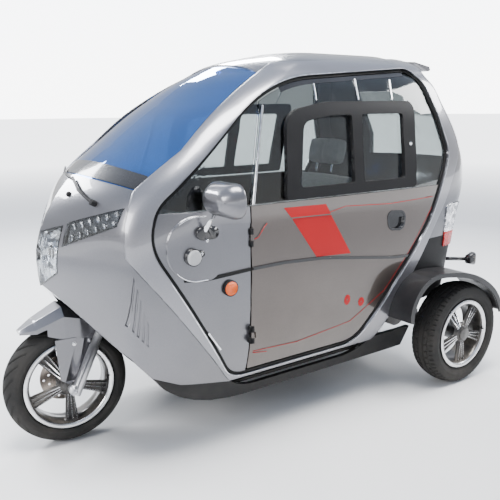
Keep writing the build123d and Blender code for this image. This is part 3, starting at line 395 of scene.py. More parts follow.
def shell_piece(node, *finishes, sort=None):
    """Replaces a node by a finer copy that lies on the smooth shell."""
    form = welded(frame["nodes"][node].data)
    heights = [v.co.z for v in form.verts]
    lengths = [v.co.y for v in form.verts]
    cuts = [((0, 0, (low + (high - low) * share) / 1000), (0, 0, 1)) for low, high in zip(SHELL_Z, SHELL_Z[1:])
            for share in (0.25, 0.5, 0.75)]
    cuts += [((0, y / 1000, 0), (0, 1, 0)) for y in (*range(-980, -400, 45), *range(480, 1140, 40))]
    for spot, way in cuts:
        if min(heights) < spot[2] < max(heights) or way[1] and min(lengths) < spot[1] < max(lengths):
            cut_across(form, spot, way)
    mesh = written(form, bpy.data.meshes.new(node + "_skin"))
    points = settle([v.co for v in mesh.vertices])
    mesh.vertices.foreach_set("co", points.ravel())
    mesh.update()
    shaded(mesh, 32)
    outward = shell_normals(points)
    shading = np.array([c.vector for c in mesh.corner_normals])
    for face in mesh.polygons:
        facing = outward[list(face.vertices)]
        lean = facing.mean(0) @ np.array(face.normal)
        if abs(lean) > ON_SKIN:
            shading[list(face.loop_indices)] = facing * math.copysign(1, lean)
    mesh.normals_split_custom_set(shading.tolist())
    return stand_in(node, mesh, finishes, sort)


def effect(name, inputs, outputs):
    """Empty shader node group, with its inputs' values and its outputs' kinds by name."""
    made = bpy.data.node_groups.new(name, "ShaderNodeTree")
    for title, value in inputs.items():
        made.interface.new_socket(title, in_out="INPUT", socket_type="NodeSocketFloat").default_value = value
    for title, kind in outputs.items():
        made.interface.new_socket(title, in_out="OUTPUT", socket_type="NodeSocket" + kind)
    return made, made.nodes.new("NodeGroupInput").outputs, made.nodes.new("NodeGroupOutput")


def use(tree, made, sockets):
    """Places an effect in a material and returns its outputs."""
    return node_in(tree, "Group", sockets, node_tree=made).outputs


# Rounded edges: the normal turns over an edge of the given radius, and the mask shows where it is rubbed.
edge_wear, given, put = effect("edge_wear", {"Radius": 0.002, "Amount": 0.4},
                               {"Mask": "Float", "Normal": "Vector"})
rounded = node_in(edge_wear, "Bevel", {"Radius": given["Radius"]}, samples=3).outputs[0]
agree = vectors(edge_wear, "DOT_PRODUCT", rounded, node_in(edge_wear, "NewGeometry").outputs["Normal"])
spots = noise(edge_wear, object_place(edge_wear), 60.0, 5.0)
rub = maths(edge_wear, "MULTIPLY", spread(edge_wear, agree, 0.99, 0.86), spread(edge_wear, spots, 0.5, 0.7))
feed(edge_wear, put, {"Mask": maths(edge_wear, "MULTIPLY", rub, given["Amount"]), "Normal": rounded})

# Road dust: it settles on faces that look up and thickens towards the ground.
dust, given, put = effect("dust", {"Amount": 0.3, "Reach": 0.6}, {"Mask": "Float"})
place = object_place(dust)
low = spread(dust, part_of(dust, place, "Z"), given["Reach"], 0.0)
lying = spread(dust, part_of(dust, node_in(dust, "NewGeometry").outputs["Normal"], "Z"), 0.5, 1.0, 0.0, 0.35)
patches = spread(dust, noise(dust, place, 9.0, 8.0, Roughness=0.65), 0.35, 0.75)
film = maths(dust, "MULTIPLY", maths(dust, "ADD", low, lying), patches)
feed(dust, put, {"Mask": maths(dust, "MULTIPLY", film, given["Amount"], use_clamp=True)})

# Metal flake and orange peel of the sprayed coat.
flake, given, put = effect("flake", {"Size": 0.0012, "Contrast": 0.3}, {"Tone": "Float", "Peel": "Float"})
place = object_place(flake)
count = maths(flake, "DIVIDE", 1.0, given["Size"])
chips = part_of(flake, node_in(flake, "TexVoronoi", {"Vector": place, "Scale": count}).outputs["Color"], "X")
chips = maths(flake, "MULTIPLY_ADD", maths(flake, "SUBTRACT", chips, 0.5), given["Contrast"], 0.5)
feed(flake, put, {"Tone": chips, "Peel": noise(flake, place, 350.0, 1.0)})

DUST_COLOUR = (0.34, 0.30, 0.25)


def sprayed(name, dark, light, worn, radius=PANEL_EDGE):
    """Lacquered metallic paint between two tones, a little worn at its edges."""
    finish, tree = new_finish(name)
    edge = use(tree, edge_wear, {"Radius": radius, "Amount": 0.35})
    film = use(tree, dust, {"Amount": 0.10, "Reach": 0.75})["Mask"]
    coat = use(tree, flake, {"Size": 0.0014, "Contrast": 0.22})
    drift = spread(tree, noise(tree, object_place(tree), 2.2, 3.0), 0.3, 0.7, -0.12, 0.12)
    colour = blend_colours(tree, maths(tree, "ADD", drift, coat["Tone"]), dark, light)
    colour = blend_colours(tree, edge["Mask"], colour, worn)
    return finished(finish, {
        "Base Color": blend_colours(tree, film, colour, DUST_COLOUR),
        "Roughness": maths(tree, "MULTIPLY_ADD", film, 0.4, 0.30),
        "Metallic": spread(tree, film, 0.0, 1.0, 0.85, 0.1),
        "Normal": bump(tree, coat["Peel"], 0.02, 0.0004, Normal=edge["Normal"]),
        "Coat Weight": 1.0,
        "Coat Roughness": 0.04})


silver = sprayed("silver_paint", (0.095, 0.095, 0.104), (0.185, 0.185, 0.202), (0.13, 0.128, 0.126))
for node in ("nose_panel", "hood", "roof", "tail_shell", "quarter_panels"):
    shell_piece(node, silver)

# ---- Side hoops: one thick silver moulding a side frames the door opening from the nose round over the roof
# and down the rear pillar. Its edges are rounded off more than those of the panels.
# The hoops' paint is mixed lighter than the panels' silver. This is a painted highlight for the light that
# falls on their rounded faces.
hoop_silver_painted_highlight = sprayed("hoop_silver_painted_highlight", (0.16, 0.16, 0.174), (0.30, 0.30, 0.326), (0.20, 0.197, 0.194),
                      radius=0.007)
shell_piece("side_hoops", hoop_silver_painted_highlight)

# ---- Sills: matt black polypropylene skirts, screwed on under the doors, with a fine moulded grain.
# Moulded grain: the leathery skin that a plastic part takes from its mould.
grain, given, put = effect("grain", {"Size": 0.002, "Depth": 0.5}, {"Tone": "Float", "Height": "Float"})
place = object_place(grain)
count = maths(grain, "DIVIDE", 1.0, given["Size"])
pebbles = node_in(grain, "TexVoronoi", {"Vector": place, "Scale": count}, feature="SMOOTH_F1")
pebbles = pebbles.outputs["Distance"]
tone = maths(grain, "ADD", noise(grain, place, 7.0, 6.0), maths(grain, "MULTIPLY", pebbles, 0.25))
feed(grain, put, {"Height": maths(grain, "MULTIPLY", pebbles, given["Depth"]), "Tone": tone})


def moulded(name, dark, light, rough, size=0.002, depth=0.5, radius=0.0015, wear=0.3, dirt=0.5, lacquer=0.0,
            worn=(0.16, 0.16, 0.16), metal=0.0):
    """Moulded plastic, rubber or a powder coat: two tones, a grain, rubbed edges and dust."""
    finish, tree = new_finish(name)
    edge = use(tree, edge_wear, {"Radius": radius, "Amount": wear})
    film = use(tree, dust, {"Amount": dirt, "Reach": 0.6})["Mask"]
    skin = use(tree, grain, {"Size": size, "Depth": depth})
    colour = blend_colours(tree, skin["Tone"], dark, light)
    colour = blend_colours(tree, edge["Mask"], colour, worn)
    tone = maths(tree, "MULTIPLY_ADD", skin["Tone"], 0.18, rough - 0.09)
    return finished(finish, {
        "Base Color": blend_colours(tree, film, colour, DUST_COLOUR),
        "Roughness": maths(tree, "MULTIPLY_ADD", film, 0.4, tone),
        "Normal": bump(tree, skin["Height"], 0.35, 0.0006, Normal=edge["Normal"]),
        "Metallic": metal,
        "Specular IOR Level": 0.15,
        "Coat Weight": lacquer,
        "Coat Roughness": 0.08})


black_plastic = moulded("black_plastic", (0.004, 0.004, 0.0045), (0.011, 0.011, 0.012), 0.46, dirt=0.08,
                        wear=0.15)
gloss_black = moulded("gloss_black", (0.006, 0.006, 0.007), (0.016, 0.016, 0.018), 0.22, depth=0.05,
                      dirt=0.08, lacquer=0.8)
rubber = moulded("black_rubber", (0.005, 0.005, 0.005), (0.014, 0.014, 0.014), 0.62, size=0.0012, wear=0.1,
                 dirt=0.12)
shell_piece("sill_skirts", black_plastic)
shell_piece("tail_box", black_plastic)

# ---- Seals: an extruded rubber lip is pushed on the flange round each door opening, and a rubber moulding
# runs across the panel ahead of the door.
shell_piece("door_seals", rubber)

# ---- Glass: the windscreen is laminated. Its blue is painted into the glass as a painted reflection of the sky, and a metallic
# film mirrors the sky too. Side and rear panes are toughened and lightly smoked, a tint that is painted shade
# on the cabin behind them.
def glazing(name, tint, smear, film=0.0, transmission=1.0):
    """Clear, tinted or filmed pane with a faint smear."""
    finish, tree = new_finish(name)
    wipe = noise(tree, object_place(tree), 4.0, 6.0, Distortion=1.2)
    return finished(finish, {
        "Base Color": blend_colours(tree, wipe, tint, [c * 0.86 + 0.02 for c in tint]),
        "Roughness": spread(tree, wipe, 0.35, 0.8, 0.01, 0.01 + smear),
        "IOR": 1.5,
        "Metallic": film,
        "Transmission Weight": transmission})


# The smoked tint is painted shade. It darkens the cabin seen through the side and rear panes.
smoked = glazing("smoked_glass_painted_shade", (0.50, 0.54, 0.54), 0.02)
# Its blue base colour is a painted reflection of the sky.
shell_piece("windscreen", glazing("screen_blue_painted_reflection", (0.06, 0.20, 0.56), 0.03, film=0.6, transmission=0.8))
for node in ("rear_window", "quarter_glasses", "door_glass_left", "door_glass_right"):
    shell_piece(node, smoked)


def front_y(x, z, inset=0.0):
    """How far forward the smooth shell reaches, in metres."""
    line = outlines(np.array([z * 1000.0]), True)[0][:STEPS[0] + 1]
    return float(np.interp(abs(x) * 1000, line[:, 0], line[:, 1])) / 1000 + inset


def ribbon(name, rows, slot, finish):
    """Thin skin through rows of points, each row as long as the next."""
    mesh = bpy.data.meshes.new(name)
    wide = len(rows[0])
    faces = [(i * wide + j, i * wide + j + 1, (i + 1) * wide + j + 1, (i + 1) * wide + j)
             for i in range(len(rows) - 1) for j in range(wide - 1)]
    mesh.from_pydata([p for row in rows for p in row], [], faces)
    return new_piece(name, shaded(mesh), slot, finish)


SIDES = ((1, "left"), (-1, "right"))
# Black ceramic band printed on the windscreen: wide at its foot, narrow at the sides. Heights and half widths
# of the pillars' inner edge are in millimetres.
PILLARS = [(942, 403), (1036, 378), (1174, 414), (1328, 372), (1453, 304), (1600, 200)]


def pillar_x(z):
    return float(np.interp(z * 1000, [p[0] for p in PILLARS], [p[1] for p in PILLARS])) / 1000


FOOT_Y, FOOT_Z, FOOT_FALL = -0.860, 1.086, 0.4273        # plane that the windscreen's foot stands on


def foot_z(x):
    """Height of the windscreen's lower edge at a distance from the centre plane."""
    z = FOOT_Z
    for i in range(25):
        z = 0.5 * z + 0.5 * (FOOT_Z - FOOT_FALL * (front_y(x, z) - FOOT_Y))
    return z


PRINT = 0.0066           # the print lies on the outer face, this far below the shell
FOOT_BAND, SIDE_BAND = 0.045, 0.014     # widths of the print
SCREEN_HALF, SCREEN_TOP = 0.372, 1.462
rows = []
for x in np.linspace(-SCREEN_HALF, SCREEN_HALF, 41):
    low = foot_z(x) + 0.002
    rows.append([(x, front_y(x, z, PRINT), z) for z in np.linspace(low, low + FOOT_BAND, 5)])
ribbon("screen_print_foot", rows, "windscreen", gloss_black)
foot = foot_z(0.36)
for side, word in SIDES:
    rows = []
    for z in foot + 0.012 + (SCREEN_TOP - foot) * np.linspace(0, 1, 31):
        edge = pillar_x(z) - 0.0015
        rows.append([(side * x, front_y(x, z, PRINT), z) for x in np.linspace(edge, edge - SIDE_BAND, 3)])
    ribbon("screen_print_" + word, rows, "windscreen", gloss_black)

# ---- Doors: a fibreglass skin with a belt shoulder, glass above it, and a black frame with two sliding panes
# that stands proud of the glass. Knuckles on its front edge turn on the hinge pins.
# The doors' paint is mixed darker and browner than the panels' silver. This is a painted reflection of brown
# ground and painted shade on the upright door skins.
door_silver_painted_reflection = sprayed("door_silver_painted_reflection", (0.056, 0.045, 0.039), (0.118, 0.098, 0.087), (0.085, 0.075, 0.067))
for word in ("left", "right"):
    shell_piece("door_panel_" + word, door_silver_painted_reflection)
    shell_piece("window_frame_" + word, black_plastic)
    shell_piece("door_trim_" + word, gloss_black)
shell_piece("door_hinges", black_plastic)

# Red vinyl: a slanting band across the belt, a coachline that follows the door's edge and two dots. Places
# are y and z in millimetres.
red_vinyl = moulded("red_vinyl", (0.30, 0.002, 0.004), (0.38, 0.003, 0.006), 0.35, depth=0.02, wear=0.0,
                    dirt=0.03, lacquer=0.15)
BAND_LOW = [(34, 894), (-167, 900), (-40, 731), (147, 721)]      # below the belt shoulder
BAND_HIGH = [(4, 941), (-207, 945), (-173, 905), (30, 900)]      # on the shoulder
COACHLINES = [
    (3.0, 4.6, [(-347, 842), (-329, 847), (-300, 884), (-287, 896)]),
    (2.6, 4.6, [(15, 905), (112, 923), (363, 910), (655, 917)]),
    (2.6, 0.6, [(655, 868), (524, 697), (366, 522), (169, 412), (-118, 381), (-340, 391)]),
    (2.6, 0.6, [(-340, 384), (-270, 373)]),
]
DOTS = [(142, 516, 17, 23), (226, 492, 17, 20)]


def on_side(side, y, z, rise):
    """Place on the side of the smooth shell, rise outwards."""
    return side * (skin_x(y, z) + rise), y, z


def vinyl(name, corners, proud, side, word):
    """Four-cornered vinyl patch on a door."""
    a, b, c, d = np.array(corners) / 1000
    rows = [[on_side(side, *((a * (1 - u) + b * u) * (1 - t) + (d * (1 - u) + c * u) * t), proud)
             for u in np.linspace(0, 1, 11)] for t in np.linspace(0, 1, 11)]
    ribbon(name, rows, "door_trim_" + word, red_vinyl)


for side, word in SIDES:
    vinyl("red_band_low_" + word, BAND_LOW, 0.0007, side, word)
    vinyl("red_band_high_" + word, BAND_HIGH, 0.0047, side, word)
    for number, (width, proud, line) in enumerate(COACHLINES):
        rows = []
        for start, end in zip(line, line[1:]):
            way = np.subtract(end, start)
            reach = np.linalg.norm(way)
            across = np.array([-way[1], way[0]]) / reach * width / 2
            for t in np.linspace(0, 1, max(2, int(reach / 25)) + 1):
                rows.append([on_side(side, *((start + way * t + sign * across) / 1000), proud / 1000)
                             for sign in (-1, 1)])
        ribbon(f"coachline_{word}_{number}", rows, "door_trim_" + word, red_vinyl)
    for number, (y, z, wide, tall) in enumerate(DOTS):
        rings = [[on_side(side, (y + wide * ring / 5 * math.cos(turn)) / 1000,
                          (z + tall * ring / 5 * math.sin(turn)) / 1000, 0.0006)
                  for turn in np.linspace(0, 2 * math.pi, 33)] for ring in range(1, 6)]
        ribbon(f"red_dot_{word}_{number}", rings, "door_trim_" + word, red_vinyl)

# ---- Tyres: black rubber. The front one is a round motorcycle tyre with curved grooves, and the rear ones are
# square car tyres with blocks. Moulded rings run round their sidewalls.
tyre_rubber = moulded("tyre_rubber", (0.008, 0.008, 0.008), (0.024, 0.0235, 0.023), 0.70, size=0.0015,
                      depth=0.3, radius=0.001, wear=0.15, dirt=0.10, worn=(0.05, 0.05, 0.05))
#                   radius, half, bead, rim half, flange, crown
TYRES = {"front": (0.245, 0.062, 0.165, 0.046, 0.179, 0.028),
         "rear": (0.247, 0.066, 0.152, 0.050, 0.167, 0.013)}
TURNS = 420              # steps round a tyre
GROOVE = 0.0055          # depth of the tread


def wheel_place(node):
    """Place of a wheel's joint from the record, with its Z along the axle and outwards."""
    joint = [j for j in frame["joints"] if j["child"] == body_named(node)][0]
    centre, axle = Vector(joint["pos_m"]), Vector(joint["axis"]).normalized()
    if centre.x < -0.1:
        axle = -axle
    ahead = Vector((0, 0, 1)).cross(axle).normalized()
    turn_to = Matrix((ahead, axle.cross(ahead), axle)).transposed().to_4x4()
    return Matrix.Translation(centre) @ turn_to


def band_faces(start, sectors, count, closed=False):
    """Faces between like profiles of count points that go round an axle."""
    faces = []
    for i in range(sectors):
        here, ahead = start + i * count, start + (i + 1) % sectors * count
        for j in range(count if closed else count - 1):
            k = (j + 1) % count
            faces.append((here + j, ahead + j, ahead + k, here + k))
    return faces


FRONT_GROOVES = 26       # curved grooves round the front tyre
REAR_GROOVES = (44, 60)  # slanting grooves round a rear tyre, in the middle and on the shoulders
RING_GROOVES = ((0.22, 0.045), (0.62, 0.05))     # place across a rear tyre, and half width


def cut_tread(node, turn, across):
    """Whether the tread is cut at a share of the turn, and across it from -1 to 1."""
    far = abs(across)
    if node == "front_tyre":
        # Curved grooves sweep from the middle to the shoulder, one side half a step behind the other.
        sweep = turn * FRONT_GROOVES + 1.5 * far ** 1.4 + (0.5 if across > 0 else 0)
        return abs((sweep % 1) - 0.5) < 0.10 and 0.12 < far < 0.93 or far < 0.028
    middle = far < RING_GROOVES[1][0]
    slant = turn * REAR_GROOVES[0 if middle else 1] + (0.55 if middle else 0.15) * across
    blocks = abs((slant % 1) - 0.5) < 0.10 and far > RING_GROOVES[0][0]
    return blocks or any(abs(far - place) < width for place, width in RING_GROOVES)


RINGS = (5, 6, 9)        # points of the profile that lie in the sidewall's rings
for node in ("front_tyre", "rear_tyre_left", "rear_tyre_right"):
    radius, half, bead, rim_half, flange, crown = TYRES[node.split("_")[0]]
    bulge = (flange + 0.003 + radius - crown) / 2
    edge = (radius - crown, half - 0.006)
    wall = arc((flange + 0.002, rim_half), (bulge - 0.006, half), edge, 14)
    tread = arc(edge, (radius, 0.0), (edge[0], -edge[1]), 64) + [(edge[0], -edge[1])]
    profile = [(bead, rim_half - 0.010), (bead, rim_half)] + wall + tread
    profile += [(r, -x) for r, x in reversed(wall)] + [(bead, -rim_half), (bead, 0.010 - rim_half)]
    first, last = 2 + len(wall), 1 + len(wall) + len(tread)
    place = wheel_place(node)
    points = []
    for i in range(TURNS):
        turn = i / TURNS
        for j, (r, x) in enumerate(profile):
            if first <= j <= last and cut_tread(node, turn, x / edge[1]):
                r -= GROOVE
            if j in RINGS or len(profile) - 1 - j in RINGS:
                x += math.copysign(-0.0012, x)
            angle = 2 * math.pi * turn
            points.append(place @ Vector((r * math.cos(angle), r * math.sin(angle), x)))
    mesh = bpy.data.meshes.new(node + "_tread")
    mesh.from_pydata(points, [], band_faces(0, TURNS, len(profile), closed=True))
    stand_in(node, shaded(mesh, 38), [tyre_rubber], None)

# ---- Rims: cast aluminium, sprayed black, then turned bright on the faces of the ribs and on the outer lip.
# The mill leaves fine rings that follow the cut.
def turned(name, centre, axis, dark, light, rough):
    """Machined metal with fine rings round an axle."""
    finish, tree = new_finish(name)
    place = object_place(tree)
    from_centre = vectors(tree, "SUBTRACT", place, centre)
    along = vectors(tree, "DOT_PRODUCT", from_centre, axis)
    rings = node_in(tree, "CombineXYZ", {0: vectors(tree, "LENGTH", from_centre), 1: along}).outputs[0]
    cut = noise(tree, rings, 900.0, 2.0)
    tone = maths(tree, "MULTIPLY", cut, noise(tree, place, 30.0, 5.0))
    film = use(tree, dust, {"Amount": 0.35, "Reach": 0.6})["Mask"]
    colour = blend_colours(tree, spread(tree, tone, 0.1, 0.45), dark, light)
    edge = use(tree, edge_wear, {"Radius": 0.0012, "Amount": 0.0})
    return finished(finish, {
        "Base Color": blend_colours(tree, film, colour, DUST_COLOUR),
        "Roughness": spread(tree, cut, 0.2, 0.8, rough - 0.08, rough + 0.10),
        "Normal": bump(tree, cut, 0.12, 0.0003, Normal=edge["Normal"]),
        "Metallic": 1.0})


rim_black = moulded("rim_black", (0.008, 0.008, 0.009), (0.022, 0.022, 0.024), 0.26, depth=0.05, dirt=0.55,
                    lacquer=0.7, metal=0.3)


def copied(node, *finishes, sort=None, angle=35):
    """Replaces a node by a copy of its mesh, shaded smooth up to an angle."""
    mesh = written(welded(frame["nodes"][node].data), bpy.data.meshes.new(node + "_form"))
    stand_in(node, shaded(mesh, angle), finishes, sort)


def mm(*points):
    """Profile in metres, from millimetres."""
    return [(r / 1000, h / 1000) for r, h in points]


def turned_set(name, places, rings, sectors, slot, finish, angle=35):
    """Like turned pieces in one mesh: rings of radius and height, set at each place."""
    points, faces = [], []
    for place in places:
        faces += band_faces(len(points), sectors, len(rings))
        for i in range(sectors):
            around = 2 * math.pi * i / sectors
            points += [place @ Vector((r * math.cos(around), r * math.sin(around), h)) for r, h in rings]
    mesh = bpy.data.meshes.new(name)
    mesh.from_pydata(points, [], faces)
    form = welded(mesh, 0.000005)
    bmesh.ops.recalc_face_normals(form, faces=form.faces)
    return new_piece(name, shaded(written(form, mesh), angle), slot, finish)


#                 rim half, rib faces, hub, bead
RIMS = {"front": (0.046, 0.0445, 0.038, 0.165), "rear": (0.050, 0.0505, 0.042, 0.152)}
for node in ("front_rim", "rear_rim_left", "rear_rim_right"):
    rim_half, face_at, hub, bead = RIMS[node.split("_")[0]]
    place = wheel_place(node)
    centre = place.translation
    axle = (place.to_3x3() @ Vector((0, 0, 1))).normalized()
    bright = turned(node + "_turned", tuple(centre), tuple(axle), (0.62, 0.62, 0.63), (0.95, 0.95, 0.96), 0.24)

    def rim_finish(face):
        middle = Vector(face.center) - centre
        out = middle.dot(axle)
        reach = (middle - axle * out).length
        square = Vector(face.normal).dot(axle)
        on_rib = square > 0.9 and out > face_at - 0.004 and hub < reach < bead - 0.006
        on_lip = out > rim_half + 0.001 and reach > bead - 0.004 and square > 0.2
        return 1 if on_rib or on_lip else 0

    copied(node, rim_black, bright, sort=rim_finish)
    # Centre cap, a shallow dome pressed into the hub, and the valve's rubber stem.
    cap_at = face_at + 0.0075
    turned_set(node + "_cap", [place], [(hub - 0.010, cap_at - 0.006), (hub - 0.010, cap_at + 0.002),
               (hub - 0.013, cap_at + 0.004), (hub - 0.018, cap_at + 0.0045), (0.008, cap_at + 0.007),
               (0.0, cap_at + 0.0075)], 48, node, rim_black)
    valve = place @ Matrix.Translation((bead - 0.014, 0.0, rim_half - 0.004))
    turned_set(node + "_valve", [valve], mm((0, 0), (2.8, 0), (2.8, 12), (3.4, 12.5), (3.4, 22), (0, 22.5)),
               16, node, rubber)

# ---- Head lamp and light strips: clear moulded lenses with a black printed edge, over bright vacuum-plated
# reflectors. Each strip holds two rows of small white diodes in cups.
def lens(name, tint, rough, clear=1.0, facets=0.0, glow=0.0):
    """Clear or coloured lamp lens; facets is the count per metre of the prisms moulded in it."""
    finish, tree = new_finish(name)
    place = object_place(tree)
    haze = noise(tree, place, 25.0, 4.0)
    colour = blend_colours(tree, haze, tint, [c * 0.82 for c in tint])
    sockets = {"Base Color": colour, "Roughness": spread(tree, haze, 0.3, 0.8, rough, rough + 0.05),
               "Transmission Weight": clear, "IOR": 1.46}
    if facets:
        prisms = node_in(tree, "TexVoronoi", {"Vector": place, "Scale": facets}).outputs["Distance"]
        sockets["Normal"] = bump(tree, prisms, 0.6, 0.003)
    if glow:
        sockets.update({"Emission Color": colour, "Emission Strength": glow})
    return finished(finish, sockets)


MIRROR_TILT = 0.6        # how much the small mirrors of a faceted reflector lean


def plated(name, dark, light, rough, facets=0.0):
    """Bright plating with a faint haze; facets is the count per metre of flat mirrors pressed in it."""
    finish, tree = new_finish(name)
    place = object_place(tree)
    haze = noise(tree, place, 40.0, 6.0)
    facing = use(tree, edge_wear, {"Radius": 0.0012, "Amount": 0.0})["Normal"]
    if facets:
        cell = node_in(tree, "TexVoronoi", {"Vector": place, "Scale": facets, "Randomness": 0.35})
        lean = vectors(tree, "SUBTRACT", cell.outputs["Color"], (0.5, 0.5, 0.5))
        lean = vectors(tree, "SCALE", lean, Scale=MIRROR_TILT)
        facing = vectors(tree, "NORMALIZE", vectors(tree, "ADD", lean, facing))
    return finished(finish, {
        "Base Color": blend_colours(tree, spread(tree, haze, 0.35, 0.7), light, dark),
        "Roughness": spread(tree, haze, 0.3, 0.8, rough, rough + 0.12),
        "Metallic": 1.0,
        "Normal": facing})


clear_lens = lens("clear_lens", (0.95, 0.97, 0.98), 0.01)
chrome = plated("chrome", (0.55, 0.56, 0.58), (0.90, 0.91, 0.93), 0.05)
chrome_facets = plated("chrome_facets", (0.40, 0.42, 0.45), (0.86, 0.88, 0.92), 0.06, facets=38.0)
dull_plating = plated("dull_plating", (0.06, 0.062, 0.066), (0.16, 0.165, 0.175), 0.22)
diode = lens("diode", (1.0, 0.99, 0.95), 0.2, clear=0.0, glow=1.6)
PROJECTOR, PROJECTOR_R = (0.057, 0.795), 0.0215
STRIPS_FROM = 0.125      # distance from the middle at which the light strips begin


def lamp_part(face):
    """The projector's dome is dark glass, the strips are plated dull and the rest is bright."""
    x, z = abs(face.center[0]) - PROJECTOR[0], face.center[2] - PROJECTOR[1]
    if abs(face.center[0]) > STRIPS_FROM:
        return 2
    return 1 if math.hypot(x, z) < PROJECTOR_R else 0


shell_piece("headlamp", clear_lens)
shell_piece("led_strips", clear_lens)
shell_piece("headlamp_reflectors", chrome_facets, gloss_black, dull_plating, sort=lamp_part)
LAMP_OUTLINES = {
    "headlamp": [(0, 870), (118, 903), (104, 722), (0, 657), (-104, 722), (-118, 903)],
    "strip_left": [(142, 915), (368, 983), (366, 922), (132, 826)],
    "strip_right": [(-142, 915), (-368, 983), (-366, 922), (-132, 826)],
}
EDGE_WIDTH = 7.0         # black edge printed behind the lens


def drawn_in(outline, width):
    """Outline with its edges moved inwards by width."""
    points = np.array(outline, float)
    sides = []
    for way in (points - np.roll(points, 1, axis=0), np.roll(points, -1, axis=0) - points):
        across = np.stack([-way[:, 1], way[:, 0]], 1) / np.linalg.norm(way, axis=1)[:, None]
        sides.append(across * np.sign((across * (points.mean(0) - points)).sum(1))[:, None])
    return points + (sides[0] + sides[1]) * width / (1 + (sides[0] * sides[1]).sum(1))[:, None]


for word, outline in LAMP_OUTLINES.items():
    inner, outer = drawn_in(outline, EDGE_WIDTH), drawn_in(outline, 0.6)
    rows = []
    for step in range(12 * len(outline) + 1):
        i, t = step // 12 % len(outline), step % 12 / 12
        row = []
        for ring in (outer, inner):
            x, z = (ring[i] * (1 - t) + ring[(i + 1) % len(outline)] * t) / 1000
            row.append((x, front_y(x, z, 0.0056), z))
        rows.append(row)
    ribbon("lamp_edge_" + word, rows, "headlamp", gloss_black)


def facing_place(point, axis):
    """Place at a point, with its own Z along axis."""
    return Matrix.Translation(Vector(point)) @ Vector(axis).to_track_quat("Z", "Y").to_matrix().to_4x4()


STRIP = np.array(LAMP_OUTLINES["strip_left"]) / 1000
CUP_SHRINK = 0.25        # the outermost cups are this much smaller
for side, word in SIDES:
    cups = []
    for row in (0.27, 0.73):
        for t in (np.arange(6) + 0.75) / 6.5:
            high, low = STRIP[0] * (1 - t) + STRIP[1] * t, STRIP[3] * (1 - t) + STRIP[2] * t
            x, z = high * (1 - row) + low * row
            cup = facing_place((side * x, front_y(x, z, 0.0105), z), (0, -1, 0))
            cups.append(cup @ Matrix.Scale(1 - CUP_SHRINK * t, 4))
    turned_set("led_rings_" + word, cups, mm((14.8, 0), (15, 2), (13.8, 3), (12, 1.2), (8.5, -6), (4, -10)),
               28, "headlamp_reflectors", chrome, angle=60)
    turned_set("led_diodes_" + word, cups, mm((5, -10), (5, -7.5), (3.6, -5.2), (0, -4.4)),
               16, "led_strips", diode, angle=60)
    x, z = PROJECTOR
    ring = facing_place((side * x, front_y(x, z, 0.013), z), (0, -1, 0))
    turned_set("projector_ring_" + word, [ring], mm((22.5, -6), (22.5, 1), (24.5, 3.5), (28.5, 1), (28.5, -6)),
               48, "headlamp_reflectors", chrome, angle=50)

# ---- Turn lamps: a round clear lens in a black housing on the pod, held by one screw, and a smoked lamp on a
# black rubber stalk beside the tail.
smoked_lens = lens("smoked_lens", (0.10, 0.09, 0.08), 0.12, clear=0.35, facets=160.0)
lamp_clear = lens("lamp_clear", (0.90, 0.91, 0.92), 0.05, clear=0.55, facets=220.0)
FRONT_LENS_X, REAR_LENS_Y = 0.5262, 1.040        # the lenses stand out past these


def turn_lamp_part(face):
    if face.center[1] < 0:
        return 1 if abs(face.center[0]) > FRONT_LENS_X else 0
    return 2 if face.center[1] > REAR_LENS_Y else 0


copied("turn_lamps", gloss_black, lamp_clear, smoked_lens, sort=turn_lamp_part)
SCREW = mm((0, 0.6), (2.2, 0.6), (2.6, 1.8), (4.8, 1.4), (5.8, 0.4), (6, -1))
for side, word in SIDES:
    bezel = facing_place((side * 0.5250, -0.613, 0.812), (side, 0, 0))
    turned_set("turn_lamp_bezel_" + word, [bezel], mm((27.5, 0), (27.8, 3), (29.6, 4), (31, 2.2), (31.1, -4)),
               48, "turn_lamps", gloss_black, angle=50)
    screws = [facing_place((side * 0.5212, -0.579, 0.820), (side, 0, 0)),
              facing_place((side * 0.5290, -0.560, 0.866), (side, 0, 0))]
    turned_set("pod_screws_" + word, screws, SCREW, 20, "mirrors", chrome)

# Bright trim that runs round the pod's front edge.
POD_R = 0.108
pod_line = [(-0.552, 0.952, 0.0, 1.0)]
for z, start in ((0.844, 90), (0.826, 180)):
    for turn in np.radians(np.linspace(start, start + 90, 13)):
        out_y, out_z = math.cos(turn), math.sin(turn)
        pod_line.append((-0.589 + POD_R * out_y, z + POD_R * out_z, out_y, out_z))
pod_line.append((-0.552, 0.718, 0.0, -1.0))
POD_BEAD = mm((0.5, 10.6), (1.6, 12.2), (4, 12.2), (5, 11.2))     # inwards, rise
for side, word in SIDES:
    rows = [[on_side(side, y - out_y * inward, z - out_z * inward, rise) for inward, rise in POD_BEAD]
            for y, z, out_y, out_z in pod_line]
    ribbon("pod_trim_" + word, rows, "mirrors", chrome)

# ---- Side reflectors: an amber prism disc pressed into a black rubber ring, one on the panel ahead of each
# door. It has no bulb. Its faint glow is painted light, an even emission that stands in for light thrown back
# by its prisms.
amber = lens("amber_prisms_painted_glow", (0.78, 0.11, 0.002), 0.12, clear=0.1, facets=330.0, glow=0.03)
DISC_AT, DISC_R, DISC_X = (-0.455, 0.672), 0.0262, 0.5141


def reflector_part(face):
    return 1 if math.dist(face.center[1:], DISC_AT) < DISC_R and abs(face.center[0]) > DISC_X else 0


copied("side_reflectors", rubber, amber, sort=reflector_part)

